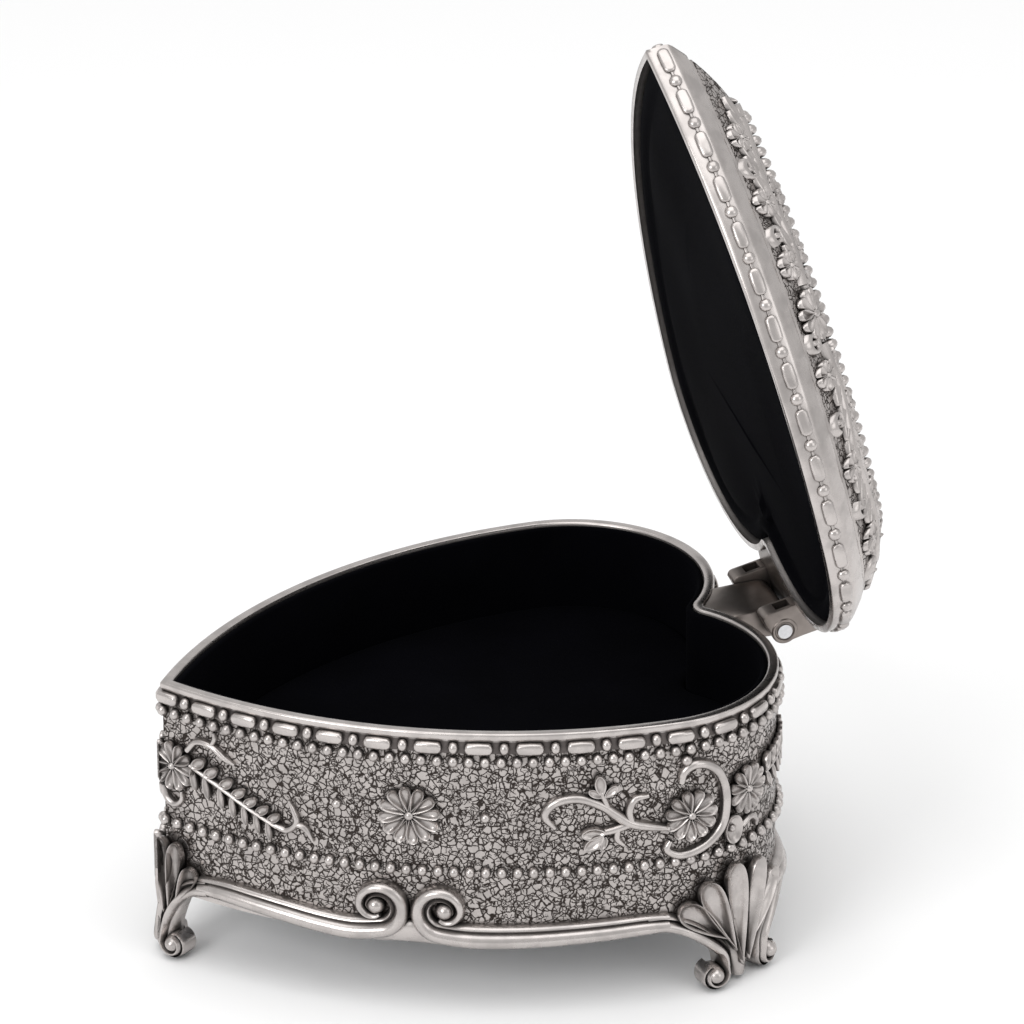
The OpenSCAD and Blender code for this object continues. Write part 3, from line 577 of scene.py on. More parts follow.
def sprig(points, leaves, count, angle, start, end, size=(1.0, 0.8)):
    """A stem with the first leaf on its left and the second on its right, at even steps."""
    stem = ribbon(points)
    line = smooth_line(points, 12)
    places = ([], [])
    for i in range(count):
        t = start + (end - start) * i / (count - 1)
        k = min(int(t * (len(line) - 1)), len(line) - 2)
        way = math.degrees(math.atan2(line[k + 1, 1] - line[k, 1], line[k + 1, 0] - line[k, 0]))
        grow = size[0] + (size[1] - size[0]) * t
        for spots, lean in zip(places, (angle, -angle)):
            spots.append((line[k, 0], line[k, 1], way + lean, grow))
    return joined([stem] + [stamped(leaf, spots) for leaf, spots in zip(leaves, places)])


print("relief shapes: bead, bar, petal, flower, sprig")


# %% [markdown]
# ## The case wall
# The wall is one casting, so its section is swept round the whole heart: up the outside, over
# the rounded rim and down the inside. The ground is sunk 0.35 mm behind the smooth rim band,
# so that the relief stands in a field. The ground gets the crackled finish, and the band
# under the rim stays darkest, because no buff gets between its bars.

# %% Heart rings
RIGHT_U = np.concatenate([np.linspace(0, U_LOBE, 90), np.linspace(U_LOBE, U_NOTCH, 90)[1:],
                          np.linspace(U_NOTCH, U_END, 9)[1:]])


def heart_ring(inset, z):
    right_side = outline(RIGHT_U, inset)[0]
    left_side = right_side[-2::-1] * [-1, 1]
    ring = np.vstack([right_side, left_side])
    return np.column_stack([ring, np.full(len(ring), z)])


def heart_skin(section):
    return skin(np.array([heart_ring(inset, z) for inset, z in section]))


def on_box(p, side):
    return as_cast(p, side)


def dress_ground(piece, is_ground, is_band=lambda c: False):
    """Three finishes on one casting: buffed, the crackled ground, and the band that the buff can't reach."""
    piece.data.materials.clear()
    for material in (SILVER, GROUND, DARK_BAND):
        piece.data.materials.append(material)
    for face in piece.data.polygons:
        face.material_index = 2 if is_band(face.center) else 1 if is_ground(face.center) else 0


print("points round the heart:", len(heart_ring(0, 0)))

# %% [markdown]
# The section below is a list of (inset, height) points. The field is everything outside the
# notch, where the smooth web that meets the hinge stays plain.

# %% Case wall
GROUND_LOW, BAND_LOW, BAND_HIGH = 15.4, 51.9, 54.3
WALL_SECTION = [(0.35, WALL_FOOT), (0.35, GROUND_LOW), (0.35, 33), (0.35, BAND_LOW), (0.35, BAND_HIGH),
                (0.12, 54.6), (0, 54.9), (0, 55.6),
                (0.12, 55.88), (0.4, 56), (1.6, 56), (1.88, 55.88), (2.0, 55.6), (2.0, 36), (2.0, WALL_FOOT),
                (0.35, WALL_FOOT)]
wall = heart_skin(WALL_SECTION)


def in_field(c):
    return inset_of(c.x, c.y) < 1 and not (c.y > 0 and abs(c.x) < 3)


dress_ground(wall, lambda c: GROUND_LOW < c.z < BAND_LOW and in_field(c),
             lambda c: BAND_LOW < c.z < BAND_HIGH and in_field(c))
wall = settle(wall, "case_wall_casting", on_box, 1, None, "root")
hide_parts("case_wall")
print("case wall faces:", len(wall.data.polygons))

# %% [markdown]
# ## Bars and beads along the rim
# Below the rim runs a band of bars and beads in turn, and two rows of small beads frame the
# field above the mouldings. Each is modelled once and copied along the outline.

# %% Rim band and bead rows
BAR_U = [1.6 + 8.6 * k for k in range(5)] + [45.1 + 9.3 * k for k in range(12)]
DOT_U = [(a + b) / 2 for a, b in zip(BAR_U, BAR_U[1:])]
BAND_Z, UPPER_Z, LOWER_Z = 53.1, 50.4, 27.8
FIRST_BEAD, BEAD_PITCH, BEADS = 0.6, 2.92, 54
for side, hand in ((1, "right"), (-1, "left")):
    one = bar(5.2, 2.3, 0.9)
    bars = stamped(one, [(u, BAND_Z, 0, 1) for u in BAR_U])
    dot = bead(1.02, 1.1)
    dot.data.transform(Matrix.Diagonal((1, 1.2, 1, 1)))
    dots = stamped(dot, [(u, BAND_Z, 0, 1) for u in DOT_U])
    settle(joined([bars, dots]), "rim_band_" + hand, on_wall, side, SILVER, "root", 60)
    pearl = bead(1.04, 1.2)
    pearl.data.transform(Matrix.Diagonal((1, 1.12, 1, 1)))
    pearls = stamped(pearl,
                     [(FIRST_BEAD + BEAD_PITCH * k, z, 0, 1) for z in (UPPER_Z, LOWER_Z)
                      for k in range(BEADS)])
    settle(pearls, "bead_rows_" + hand, on_wall, side, SILVER, "root", 80)
    drop(one, dot, pearl)
print("bars a side: %d, beads a side: %d" % (len(BAR_U), 2 * BEADS + len(DOT_U)))

# %% [markdown]
# ## Flowers and vines on the wall
# The field has a daisy in the middle of each flank, a daisy with a fern at the tip, and a
# vine that grows out of a second daisy inside a C-scroll near the lobe. The flowers, the
# bosses and the turns of the C-scroll stand at measured places. The stems between them are
# drawn, each as a line of (u, height, width, depth).

# %% Wall ornament
def wall_relief():
    plump = petal(3.9, 2.3, 1.1, root=0.8, point=0.2, rim=0.12, hollow=0.9)
    slim = petal(4.9, 1.7, 1.0, root=0.7, point=0.4, rim=0.13, hollow=0.8)
    small = petal(3.3, 1.8, 1.0, root=0.6, point=0.3, hollow=0.6)
    parts = []
    big, middle = flower(5.9, 12, 1.15), flower(5.2, 11, 1.15)
    parts.append(stamped(big, [(50.9, 39.1, 8, 1)]))
    parts.append(stamped(middle, [(2.9, 39.8, 0, 0.96), (102.9, 36.9, 5, 1), (115.8, 38.6, 0, 0.96)]))
    boss = bead(1.0, 1.1)
    parts.append(stamped(boss, [(37.2, 39.7, 0, 1), (64.8, 39.1, 0, 1), (102.0, 48.2, 0, 1.1)]))
    oval = petal(6.2, 4.4, 1.2, root=1.0, rim=0.13, hollow=1.0)
    parts.append(stamped(oval, [(111.9, 28.6, 90, 1)]))
    parts.append(stamped(boss, [(111.9, 31.7, 0, 0.8)]))
    drop(big, middle, boss, oval)
    parts.append(sprig([(6.9, 41.0, 1.1, 0.9), (13.5, 38.3, 1.1, 0.95), (19.6, 35.4, 1.0, 0.95),
                        (25.4, 32.8, 1.0, 0.9)], (plump, slim), 7, 58, 0.05, 0.9))
    parts.append(ribbon([(25.0, 33.1, 1.2, 0.9), (27.4, 32.6, 1.4, 1.0), (29.3, 34.4, 1.3, 0.95),
                         (28.8, 36.6, 1.0, 0.8), (27.7, 38.6, 0.5, 0.4)]))
    parts.append(ribbon([(29.1, 34.2, 1.2, 0.9), (31.0, 33.5, 1.2, 0.8), (32.5, 31.0, 0.5, 0.4)]))
    parts.append(ribbon([(6.4, 43.9, 1.4, 1.0), (8.6, 46.2, 1.3, 1.0), (11.8, 46.1, 1.3, 0.95),
                         (14.4, 44.4, 1.2, 0.8), (16.6, 43.4, 0.5, 0.4)]))
    parts.append(ribbon([(11.6, 46.1, 1.0, 0.8), (12.4, 47.6, 0.9, 0.7), (12.2, 48.9, 0.5, 0.4)]))
    parts.append(ribbon([(0.3, 35.0, 1.2, 0.8), (1.2, 32.8, 1.4, 0.95), (3.0, 31.8, 1.4, 0.95),
                         (4.6, 33.0, 1.0, 0.8), (4.6, 34.8, 0.5, 0.5)]))
    parts.append(ribbon([(98.6, 35.0, 1.2, 1.0), (95.0, 35.7, 1.7, 1.1), (91.4, 36.8, 2.0, 1.15),
                         (88.6, 38.9, 2.0, 1.15), (85.6, 41.2, 1.9, 1.1),
                         (81.4, 42.7, 1.8, 1.05), (77.4, 41.9, 1.8, 1.0), (75.7, 39.4, 1.6, 0.95),
                         (77.5, 36.8, 0.9, 0.6)]))
    parts.append(ribbon([(91.6, 36.8, 1.7, 1.0), (91.2, 39.2, 1.6, 1.0), (92.2, 41.6, 1.5, 0.95),
                         (94.8, 42.0, 0.8, 0.6)]))
    parts.append(ribbon([(91.0, 36.6, 1.7, 1.0), (88.2, 35.8, 1.6, 1.0), (85.6, 35.4, 1.4, 0.9)]))
    parts.append(ribbon([(89.0, 36.0, 1.5, 1.0), (88.9, 33.9, 1.4, 0.9), (90.2, 32.4, 0.8, 0.5)]))
    parts.append(ribbon([(87.4, 39.8, 1.3, 1.0), (86.6, 42.0, 1.3, 1.0), (86.0, 43.6, 1.1, 0.9)]))
    parts.append(stamped(small, [(86.0, 43.2, 97, 1.3), (86.2, 42.8, 150, 0.95), (86.5, 42.8, 42, 1.0)]))
    parts.append(stamped(small, [(86.8, 35.8, 184, 1.45), (86.4, 35.2, 218, 1.45), (86.8, 34.8, 250, 0.9)]))
    parts.append(ribbon([(101.0, 43.8, 1.3, 0.9), (101.5, 45.9, 1.7, 1.1), (103.4, 47.1, 1.9, 1.2),
                         (106.2, 46.4, 1.9, 1.2), (109.0, 43.6, 2.0, 1.2),
                         (110.3, 39.0, 2.0, 1.2), (109.6, 33.6, 1.9, 1.2), (106.2, 30.3, 1.8, 1.15),
                         (101.4, 29.0, 1.8, 1.1), (98.3, 30.4, 1.6, 1.05),
                         (98.9, 32.3, 1.1, 0.8)]))
    parts.append(sprig([(121.0, 39.6, 1.1, 0.95), (127, 40.2, 1.1, 0.95), (133, 40.6, 1.0, 0.9),
                        (141, 40.2, 0.8, 0.7)], (plump, slim), 8, 66, 0.05, 0.95))
    parts.append(ribbon([(114.2, 31.4, 1.3, 0.9), (116.6, 32.4, 1.3, 0.9), (118.4, 31.2, 1.1, 0.8),
                         (118.8, 29.8, 0.6, 0.5)]))
    parts.append(ribbon([(141, 40, 1.2, 0.9), (145.5, 41.2, 1.4, 1.0), (148.6, 38.8, 1.3, 0.9),
                         (147.2, 36.2, 0.8, 0.6)]))
    drop(plump, slim, small)
    return joined(parts)


relief = wall_relief()
settle(other(relief), "wall_relief_left", on_wall, -1, SILVER, "root", 60)
settle(relief, "wall_relief_right", on_wall, 1, SILVER, "root", 60)
print("wall relief faces a side:", len(relief.data.polygons))

# %% [markdown]
# ## Scroll mouldings and feet
# Castings soldered to the wall: a rolled ribbon rises from each foot, runs along the foot of
# the wall and ends in a scroll round a ball. The feet are palmettes whose ribbons curl
# outwards at the table. The front two scrolls face each other in the middle of the flank.

# %% Front mouldings
def volute(x, z, mirror=1):
    """The end of a moulding, wound once round a ball."""
    line = curl(x, z, -92, 180, (4.5, 2.9), (4.4, 2.5), (2.2, 2.3), 10, mirror)
    return line + curl(x, z, 212, 285, (2.4, 1.3), (2.2, 1.6), (2.2, 1.9), 4, mirror)


def front_scrolls():
    left = [(8.5, 16.6, 3.4, 1.6), (14, 16.9, 4.0, 1.8), (20, 16.6, 4.2, 1.9), (27, 16.0, 4.4, 2.0),
            (34, 15.2, 4.5, 2.0), (40, 14.9, 4.6, 2.1)]
    left += volute(44.9, 20.1)
    right_way = [(98.5, 15.6, 3.5, 1.9), (94, 15.7, 3.9, 1.9), (87, 15.4, 4.1, 1.9), (80, 15.1, 4.3, 1.9),
                 (71, 14.8, 4.5, 2.0), (62.5, 14.8, 4.6, 2.1)]
    right_way += volute(56.9, 19.9, -1)
    parts = [ribbon(left, TWO_ROLLS, 1.0, 5), ribbon(right_way[::-1], TWO_ROLLS, 1.0, 5)]
    parts.append(ribbon([(44, 13.9, 2.6, 1.0), (50.9, 15.2, 4.6, 0.9), (58, 13.9, 2.6, 1.0)],
                        HALF_ROUND, 0.6))
    ball = bead(1.8, 2.2, 14, 10)
    parts.append(stamped(ball, [(44.5, 20.1, 0, 1), (57.3, 19.9, 0, 1)]))
    drop(ball)
    return joined(parts)


front = front_scrolls()
for side, hand in ((-1, "left"), (1, "right")):
    piece = settle(other(front), "front_scrolls_" + hand, on_wall, side, SILVER, "root", 60)
    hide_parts("front_moulding_" + hand)
drop(front)
print("front mouldings: 2")

# %% [markdown]
# The rear mouldings are shorter: each runs from a side foot towards the notch and ends in one
# scroll of the same kind.

# %% Rear mouldings
def rear_scroll():
    way = [(124, 15.6, 3.4, 1.8), (129, 15.7, 3.8, 1.9), (135, 15.2, 4.2, 1.9),
           (140.6, 14.8, 4.5, 2.0)] + volute(146.2, 20.0)
    ball = bead(1.8, 2.2, 14, 10)
    return joined([ribbon(way, TWO_ROLLS, 1.0, 5), stamped(ball, [(145.8, 20.0, 0, 1)])]), ball


rear, spare = rear_scroll()
drop(spare)
for side, hand in ((-1, "left"), (1, "right")):
    piece = settle(other(rear), "rear_scroll_" + hand, on_wall, side, SILVER, "root", 60)
    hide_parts("rear_moulding_" + hand)
drop(rear)
print("rear mouldings: 2")

# %% [markdown]
# A foot is a fan of long spoons that meet low down, with a rolled ribbon on either side. The
# ribbons curl round a knob where they meet the table. The foot at the tip is drawn as one
# half, and its mirror image makes the other.

# %% Palmette feet
def palmette(petals, width):
    """petals are ((root), (head)) places."""
    parts = []
    for (rx, ry), (hx, hy) in petals:
        far = math.hypot(hx - rx, hy - ry)
        model = petal(far + width * 0.4, width, 2.4, root=0.1, rim=0.12, hollow=1.0, blunt=0.85)
        parts.append(stamped(model, [(rx, ry, math.degrees(math.atan2(hy - ry, hx - rx)), 1)]))
        drop(model)
    return parts


TOE_Z = 3.08


def toe(x, z, start, end, mirror=1):
    """A ribbon that winds round a knob at the table."""
    return curl(x, z, start, end, (2.55, 1.7), (1.9, 1.2), (2.7, 2.5), 10, mirror)


def side_foot():
    parts = palmette([((110.4, 9.6), (101.9, 17.6)), ((112.0, 6.6), (105.9, 21.2)),
                      ((113.4, 3.0), (111.7, 23.4)),
                      ((114.8, 3.6), (117.8, 22.2)), ((116.4, 8.5), (122.9, 17.9))], 5.2)
    front_leg = [(94.5, 15.6, 3.5, 1.9), (98.5, 15.4, 3.4, 2.0), (102.6, 13.6, 3.2, 2.2),
                 (106.6, 10.4, 3.0, 2.4), (109.4, 7.2, 2.6, 2.6)]
    front_leg += toe(107.5, TOE_Z, 22, -250)
    rear_leg = [(128, 15.6, 3.4, 1.8), (124.8, 13.6, 3.2, 2.1), (121.4, 10.4, 3.0, 2.4),
                (118.9, 7.2, 2.6, 2.6)]
    rear_leg += toe(120.8, TOE_Z, 22, -250, -1)
    parts += [ribbon(front_leg, TWO_ROLLS, 2.2, 5), ribbon(rear_leg[::-1], TWO_ROLLS, 2.2, 5)]
    knob = bead(1.95, 3.4, 16, 10)
    parts.append(stamped(knob, [(107.3, TOE_Z + 0.1, 0, 1), (121.0, TOE_Z + 0.1, 0, 1)]))
    parts.append(ribbon([(113.9, 0.8, 2.4, 1.0), (113.9, 5, 5.0, 1.1), (113.9, 9, 9.0, 0.8),
                         (113.9, 12.6, 12, 0.4)], HALF_ROUND, 2.2))
    drop(knob)
    return joined(parts)


foot = side_foot()
for side, hand in ((-1, "left"), (1, "right")):
    piece = settle(other(foot), "side_foot_" + hand, on_wall, side, SILVER, "root", 60)
    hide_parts("foot_" + hand)
drop(foot)


def half_tip_foot():
    parts = palmette([((1.0, 9.0), (0.6, 23.6)), ((2.0, 9.6), (3.9, 23.2)), ((3.6, 11.6), (7.1, 18.8))], 3.7)
    leg = [(10.5, 16.5, 3.5, 1.7), (6.6, 15.4, 3.3, 1.9), (3.0, 12.2, 3.0, 2.1), (0.9, 8.0, 2.6, 2.3)]
    leg += toe(2.7, TOE_Z, 165, 435)
    parts.append(ribbon(leg[::-1], TWO_ROLLS, 2.2, 5))
    knob = bead(1.95, 3.4, 16, 10)
    parts.append(stamped(knob, [(2.9, TOE_Z + 0.1, 0, 1)]))
    parts.append(ribbon([(1.0, 3.5, 2.0, 1.3), (1.4, 8, 3.2, 1.0), (2.6, 13.5, 5, 0.5)], HALF_ROUND, 2.2))
    drop(knob)
    return joined(parts)


half_foot = half_tip_foot()
right_toe = settle(other(half_foot), "tip_foot_right", on_wall, 1, SILVER, "root", 60)
left_toe = settle(half_foot, "tip_foot_left", on_wall, -1, SILVER, "root", 60)
tip_foot = joined([right_toe, left_toe])
tip_foot.name = tip_foot.data.name = "tip_foot"
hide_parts("foot_tip")
print("feet: 3")

# %% [markdown]
# ## The lid
# The lid is a thin casting: a short upright side that carries its own band of bars and
# beads, a smooth bevel, a groove, and a dome. One closed section gives both its faces, and
# the crackled finish stays inside the groove.

# %% Lid casting
DOME_IN = np.linspace(3.9, CROWN_IN, 22)
outer = [(1.4, 0.0), (0.25, 0.0), (0, 0.25), (0.05, 1.5), (0.12, 3.9), (0.3, 4.5), (0.75, 5.1), (1.6, 5.95),
         (2.5, 6.85), (2.95, 7.25),
         (3.2, 7.36), (3.35, 7.05), (3.6, 7.05)] + [(s, float(roof(s)) - 0.15) for s in DOME_IN]
inner = [(1.4, 0.0), (1.4, 3.4), (3.6, 6.0)] + [(s, float(roof(s)) - 1.5) for s in DOME_IN[2:]]
lid = heart_skin([(i, LID_BOTTOM + h) for i, h in (inner[::-1] + outer[1:])])
dress_ground(lid, lambda c: inset_of(c.x,
                                     c.y) > 3.8 and c.z > LID_BOTTOM + float(roof(inset_of(c.x, c.y))) - 0.6)
lid = settle(lid, "lid_casting", opened, 1, None, "lid")
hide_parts("lid_shell")
print("lid faces:", len(lid.data.polygons))

# %% [markdown]
# The lid's own band is flatter than the rim's: bars and round beads, strung on a thin link.

# %% Lid band
LID_BARS, FIRST_LID_BAR, LID_BAR_PITCH, LID_BAND_Z = 17, 3.4, 8.95, 2.75
for side, hand in ((1, "right"), (-1, "left")):
    one = bar(5.1, 2.3, 0.6)
    dot = bead(1.2, 0.85, 12, 8)
    link = bar(8.0, 0.55, 0.25)
    at = [FIRST_LID_BAR + LID_BAR_PITCH * k for k in range(LID_BARS)]
    band = joined([stamped(one, [(u, LID_BAND_Z, 0, 1) for u in at]),
                   stamped(dot, [(u + LID_BAR_PITCH / 2, LID_BAND_Z, 0, 1) for u in at[:-1]]),
                   stamped(link, [(u + LID_BAR_PITCH / 2, LID_BAND_Z, 0, 1) for u in at[:-1]])])
    settle(band, "lid_band_" + hand, on_lid_side, side, SILVER, "lid", 60)
    drop(one, dot, link)
print("lid bars a side:", LID_BARS)

# %% [markdown]
# The lid's ornament is a wreath between the bevel and a ring of pearls: two leafy sprays, a
# daisy where they part, and rosettes and small scrolls to fill the ground. It is drawn in
# plan from u and the distance inside the outline.

# %% Lid ornament
def even_u(inset, pitch, first=0.0, last=1e9):
    """Values of u that are evenly spaced along the line that far inside the outline."""
    u = np.linspace(0, U_NOTCH, 2000)
    way = np.concatenate([[0], np.cumsum(np.linalg.norm(np.diff(outline(u, inset)[0], axis=0), axis=1))])
    spots = np.interp(np.arange(pitch / 2, way[-1], pitch), way, u)
    return spots[(spots >= first) & (spots <= last)]


def plan(u, inset):
    """Place in plan, and the direction of the outline there in degrees."""
    (x, y), (nx, ny) = outline(u, inset)[0], outline(u, inset)[1]
    return x, y, math.degrees(math.atan2(nx, -ny))


def plan_line(points):
    """Turns (u, inset, width, height) into places in plan."""
    return [(*plan(u, inset)[:2], w, h) for u, inset, w, h in points]


def lid_scroll(u, inset, size, mirror=1):
    """A small C-scroll round a ball, drawn in plan."""
    x, y, way = plan(u, inset)
    line = curl(0, 0, -150, 150, (2.3 * size, 1.5 * size), (1.2, 0.8), (1.1, 0.9), 9, mirror)
    scroll = joined([ribbon(line, per=3), bead(0.8 * size, 1.1, 8, 6)])
    scroll.data.transform(Matrix.Translation((x, y, 0)) @ Matrix.Rotation(math.radians(way), 4, "Z"))
    return scroll


def lid_relief():
    long_leaf = petal(6.2, 2.0, 1.2, root=0.55, point=0.5, rim=0.14, hollow=0.7)
    daisy, rosette = flower(5.0, 11, 1.4), flower(2.9, 7, 1.3)
    parts = [stamped(daisy, [(*plan(54.5, 9.0), 1)])]
    rosettes = ((16, 6.6), (31, 6.2), (44.5, 6.4), (68, 6.4), (88, 6.5), (106, 6.8), (124, 7.4),
                (24, 12.2), (38, 12.2), (76, 12.2), (98, 12.2), (118, 12.2))
    parts.append(stamped(rosette, [(*plan(u, inset)[:2], 0, 1) for u, inset in rosettes]))
    parts += [lid_scroll(u, 12.0, 1.0, hand)
              for u, hand in ((31, 1), (46, -1), (64, 1), (87, -1), (108, 1), (130, -1))]
    parts += [lid_scroll(u, 6.2, 0.85, hand)
              for u, hand in ((23.5, 1), (38, -1), (61, 1), (78, -1), (97, 1), (115, -1), (134, 1))]
    leaves = []
    for first, last, turn_way in ((8, 48, 180), (61, 146, 0)):
        line = plan_line([(u, 9.2 + 0.8 * math.sin(u / 5.0), 1.3, 1.4) for u in np.linspace(first, last, 16)])
        parts.append(ribbon(line, per=4))
        for u in even_u(9.2, 3.3, first + 1, last - 1):
            x, y, way = plan(u, 9.2 + 0.8 * math.sin(u / 5.0))
            leaves += [(x, y, way + turn_way + 26, 1.0), (x, y, way + turn_way - 26, 0.95)]
    parts.append(stamped(long_leaf, leaves))
    pearl = bead(1.12, 1.5)
    parts.append(stamped(pearl, [(*plan(u, 14.6)[:2], 0, 1) for u in even_u(14.6, 2.35, 0.5, U_NOTCH - 6)]))
    drop(long_leaf, daisy, rosette, pearl)
    return joined(parts)


lid_ornament = lid_relief()
settle(other(lid_ornament), "lid_relief_left", on_lid, -1, SILVER, "lid", 60)
settle(lid_ornament, "lid_relief_right", on_lid, 1, SILVER, "lid", 60)
print("lid relief faces a side:", len(lid_ornament.data.polygons))

# %% [markdown]
# ## The hinge
# A tongue on the case carries the pin, and two lugs on the lid's yoke turn on it. All are
# cast, so every edge is soft. Each block is a side profile swept across, with its end rings
# drawn in a little. The lugs have a cored pocket in the face that looks up when the lid is
# open, and a ring turned round the pin's end.

# %% Hinge blocks
PIN_R, TONGUE_HALF, LUG_IN, LUG_OUT = 1.4, 6.4, 6.6, 10.6


def arc_points(y, z, radius, start, end, steps=8):
    return [(y + radius * math.cos(a), z + radius * math.sin(a))
            for a in np.radians(np.linspace(start, end, steps))]


def behind(x):
    """How far back the castings' outer face lies at x, less a little to sink into it."""
    x = abs(x)
    lobe = math.sqrt(LOBE_R ** 2 - (x - LOBE_X) ** 2)
    return (lobe if x > 1.04 else NOTCH_C[1] - math.sqrt(NOTCH_R ** 2 - x ** 2)) - 0.7


def block(profile, x_low, x_high, soft=0.35):
    """A (y, z) profile swept from x_low to x_high, with softened end edges, that stops at the heart."""
    p = np.array(profile + profile[:1])
    middle = p[:-1].mean(axis=0)
    drawn_in = p + (middle - p) / np.maximum(np.linalg.norm(middle - p, axis=1), 0.01)[:, None] * soft
    half_in = p + (drawn_in - p) * 0.3
    rows = [(x_low, drawn_in), (x_low + 0.3 * soft, half_in)]
    rows += [(x, p) for x in np.linspace(x_low + soft, x_high - soft, 2 + int(x_high - x_low))]
    rows += [(x_high - 0.3 * soft, half_in), (x_high, drawn_in)]
    return skin(np.array([np.column_stack([np.full(len(ring), x), np.maximum(ring[:, 0], behind(x)),
                                           ring[:, 1]]) for x, ring in rows]), 0.001)


def pocketed(piece, low, high):
    """Sinks a pocket in the part of the front face that lies between two heights."""
    alone(piece)
    for height in (low, high):
        bpy.ops.object.mode_set(mode="EDIT")
        bpy.ops.mesh.select_all(action="SELECT")
        bpy.ops.mesh.bisect(plane_co=(0, 0, height), plane_no=(0, 0, 1))
        bpy.ops.object.mode_set(mode="OBJECT")
    bpy.ops.object.mode_set(mode="EDIT")
    bpy.ops.mesh.select_all(action="DESELECT")
    bpy.ops.object.mode_set(mode="OBJECT")
    for face in piece.data.polygons:
        face.select = face.normal.y < -0.98 and low < face.center.z < high
    bpy.ops.object.mode_set(mode="EDIT")
    bpy.ops.mesh.inset(thickness=0.45, depth=0)
    bpy.ops.mesh.inset(thickness=0.1, depth=-1.3)
    bpy.ops.object.mode_set(mode="OBJECT")
    return piece


def turned_ring(x, way):
    """A half-round ring about the hinge axis."""
    rows = []
    for off, rise in HALF_ROUND:
        radius = PIN_R + 0.75 + 0.4 * off
        circle = arc_points(HINGE_Y, HINGE_Z, radius, 0, 360, 33)
        rows.append([(x + way * 0.3 * rise, y, z) for y, z in circle])
    return skin(np.array(rows))


print("hinge pin %.1f mm, lugs %.1f mm wide" % (2 * PIN_R, LUG_OUT - LUG_IN))

# %% [markdown]
# The tongue is rounded about the pin, so that the lid can swing past upright. The yoke's web
# joins its two lugs behind the lid's edge.

# %% Hinge tongue and yoke
notch_y = 20.0
tongue_side = [(notch_y, 50.9), (HINGE_Y, 50.65)] + arc_points(HINGE_Y, HINGE_Z, 2.95, -80, 88, 10)
tongue_side += [(27.5, 56.3), (24.0, 56.0), (notch_y, 55.4)]
tongue = settle(block(tongue_side, -TONGUE_HALF, TONGUE_HALF), "hinge_tongue_casting", on_box, 1, HINGE,
                "root", 35)
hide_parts("hinge_bracket")

lug_side = arc_points(29.0, 51.2, 1.1, 180, 262, 4) + arc_points(HINGE_Y, HINGE_Z, 2.5, -80, 0, 6)
lug_side += [(34.7, 57.0), (34.7, 59.9), (27.9, 59.9)]
web_side = [(20.0, 57.0), (34.4, 57.0), (34.4, 59.8), (20.0, 59.8)]
near_lug = pocketed(block(lug_side, LUG_IN, LUG_OUT, 0.3), 52.6, 56.4)
far_lug = pocketed(block(lug_side, -LUG_OUT, -LUG_IN, 0.3), 52.6, 56.4)
parts = [near_lug, far_lug, block(web_side, -LUG_OUT + 0.2, LUG_OUT - 0.2), turned_ring(LUG_OUT - 0.05, 1),
         turned_ring(-LUG_OUT + 0.05, -1)]
yoke = settle(joined(parts), "hinge_yoke_casting", opened, 1, HINGE, "lid", 35)
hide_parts("lid_hinge_yoke")
print("hinge faces:", len(tongue.data.polygons) + len(yoke.data.polygons))

# %% [markdown]
# ## Velvet
# The wall is lined with velvet stretched over card, which ends in a soft roll just below the
# rim. The floor and the inside of the lid are padded. Both pads are drawn in at their edges,
# and their faces rise and fall a little, as velvet glued over wadding does.

# %% Wall lining
LINING_OUT, LINING_IN, FLOOR_TOP = WALL + 0.05, WALL + 1.25, 37.2
lining = heart_skin([(LINING_OUT, FLOOR_TOP), (LINING_OUT, 55.0), (LINING_OUT + 0.25, 55.4), (2.65, 55.5),
                     (LINING_IN - 0.25, 55.4),
                     (LINING_IN, 55.0), (LINING_IN, 46), (LINING_IN, FLOOR_TOP), (LINING_OUT, FLOOR_TOP)])
lining = settle(lining, "velvet_lining", on_box, 1, VELVET, "root")
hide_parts("wall_lining")

# %% [markdown]
# The floor pad is a closed cushion: rings of the heart that draw in towards its top, which is
# then made a little uneven by two slow waves.

# %% Floor pad
PAD_IN, PAD_LOW, PAD_HIGH = 3.5, 37.2, 39.8
pad_rings = [(PAD_IN, PAD_LOW), (PAD_IN, PAD_LOW + 1.4), (PAD_IN + 0.5, PAD_HIGH - 0.5),
             (PAD_IN + 1.6, PAD_HIGH - 0.1)]
pad_rings += [(s, PAD_HIGH) for s in (6.5, 9, 12, 16, 20, 24)]
floor_pad = heart_skin(pad_rings)
p = points_of(floor_pad)
top = p[:, 2] > PAD_HIGH - 0.2
p[top, 2] -= 0.18 * (1 + np.sin(p[top, 0] / 7.3) * np.cos(p[top, 1] / 8.9))
put_points(floor_pad, p)
floor_pad = settle(floor_pad, "velvet_floor_pad", on_box, 1, VELVET, "root", 60)
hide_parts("floor_pad")
print("floor pad: %.1f mm thick" % (PAD_HIGH - PAD_LOW))

# %% [markdown]
# The lid pad follows the dome behind and is nearly flat in front, with a soft roll along its
# edge where the velvet is tucked in.

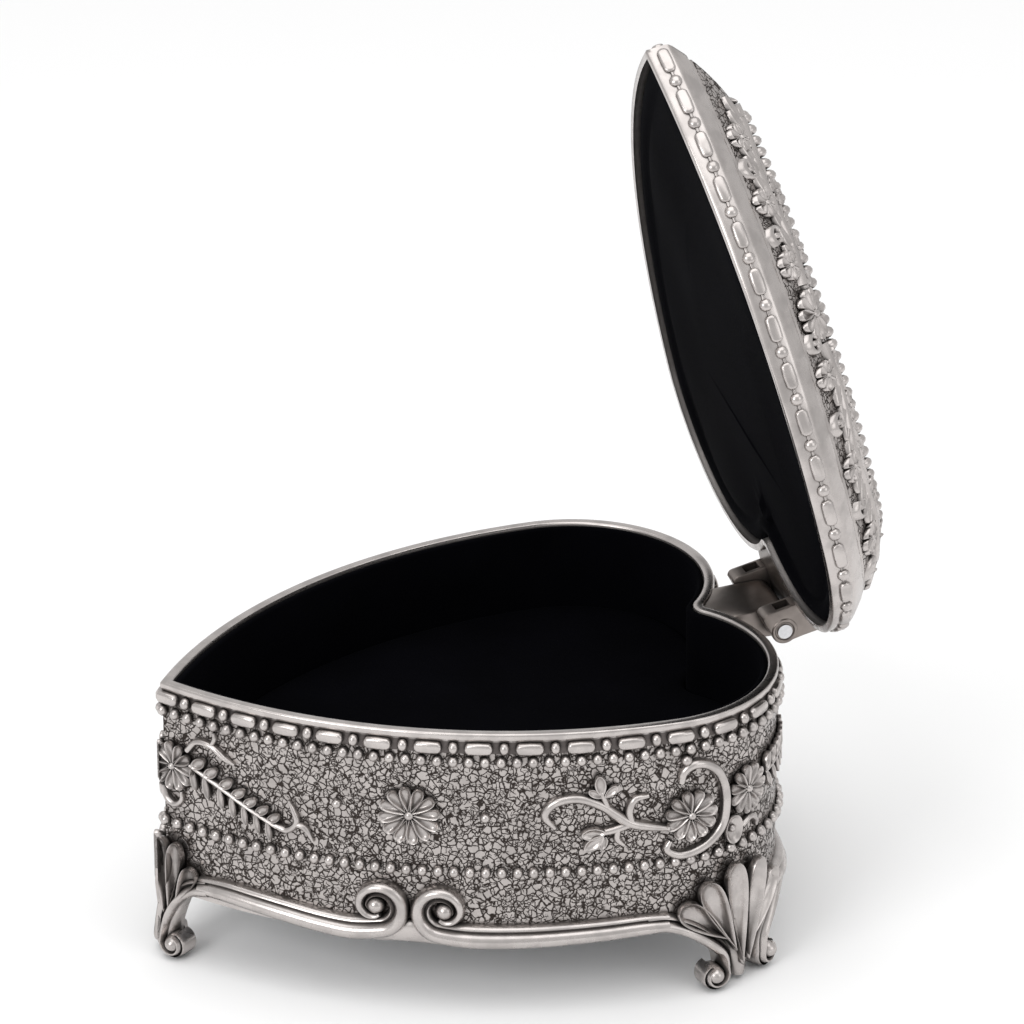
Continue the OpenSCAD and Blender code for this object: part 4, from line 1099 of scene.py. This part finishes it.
# %% Lid pad
PAD_SIDE = 1.7
face = [(24, 0.75), (20, 0.75), (16, 0.75), (12, 0.75), (9, 0.8), (6.8, 1.0), (5.9, 1.45), (5.2, 1.1),
        (4.2, 0.75), (2.9, 0.8), (2.0, 1.3), (PAD_SIDE, 2.2)]
under = [(PAD_SIDE + 0.1, 3.0), (3.9, 5.7)] + [(s, float(roof(s)) - 1.75) for s in DOME_IN[2:]]
lid_pad = heart_skin([(i, LID_BOTTOM + h) for i, h in face + under])
p = points_of(lid_pad)
front_face = (p[:, 2] < LID_BOTTOM + 1.2) & (inset_of(p[:, 0], p[:, 1]) > 6)
p[front_face, 2] += 0.5 * (1 + np.sin(p[front_face, 0] / 8.1 + 1) * np.sin(p[front_face, 1] / 11.3))
put_points(lid_pad, p)
lid_pad = settle(lid_pad, "velvet_lid_pad", opened, 1, VELVET, "lid", 60)
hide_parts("lid_pad")
print("velvet pieces: 3")

# %% [markdown]
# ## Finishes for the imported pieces
# The hinge pin, the plates, the key and the movement have their right shapes already, so they
# stay as they are and only get their finishes, by the slot that the record gives each.

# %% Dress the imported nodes
FINISHES = {
    STEEL_SHEET: ["base_plate", "stop_lever"],
    STEEL: ["hinge_pin", "base_screws", "movement_screws", "winding_arbor", "click", "mainspring",
            "cylinder_pins", "cylinder_shaft",
            "comb", "comb_screws", "governor_shaft", "worm_shaft"],
    BRASS: ["winding_key", "spring_barrel", "barrel_cap", "ratchet_wheel", "music_cylinder", "cylinder_caps",
            "cylinder_pinion",
            "cylinder_gear", "governor_pinion", "worm_wheel"],
    ZINC: ["bedplate", "bearing_post", "comb_bed", "governor_frame"],
    NYLON: ["air_brake"],
    CARD: ["floor_board"],
}
for finish, names in FINISHES.items():
    for name in names:
        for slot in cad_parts[name].material_slots:
            slot.material = finish
dressed = [name for names in FINISHES.values() for name in names]
left_bare = [n for n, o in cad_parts.items() if not o.hide_render and n not in dressed]
print("packed nodes without a finish:", left_bare)

# %% [markdown]
# ## Floor and light
# A plain pale floor, a bright even surround and three soft lamps: a large one overhead, one
# from the left that rounds the beads, and a weak one from the right.

# %% Studio
bpy.ops.object.select_all(action="DESELECT")
bpy.ops.mesh.primitive_plane_add(size=12, location=(0, 0, -0.0002))
studio_floor = bpy.context.active_object
studio_floor.name = "studio_floor"
paper = new_material("matt_white_paper")
finish_with(paper, add(paper, "ShaderNodeBsdfPrincipled", {},
                       {"Base Color": linear("#F7F7F7"), "Roughness": 0.9, "Specular IOR Level": 0.1}))
studio_floor.data.materials.append(paper)

world = bpy.data.worlds.new("studio")
world.use_nodes = True
world.node_tree.nodes["Background"].inputs["Color"].default_value = linear("#FFFFFF")
world.node_tree.nodes["Background"].inputs["Strength"].default_value = 0.75
bpy.context.scene.world = world

for name, place, watts, width in (("overhead", (0.1, 0.0, 0.9), 4.0, 1.0),
                                  ("left", (0.55, -0.75, 0.55), 3.2, 0.45),
                                  ("right", (0.7, 0.6, 0.45), 0.8, 0.5)):
    bpy.ops.object.light_add(type="AREA", location=place)
    lamp = bpy.context.active_object
    lamp.name = "lamp_" + name
    lamp.data.energy = watts
    lamp.data.size = width
    lamp.rotation_euler = (Vector((0, 0, 0.05)) - Vector(place)).to_track_quat("-Z", "Y").to_euler()
bpy.context.scene.view_settings.view_transform = "Standard"
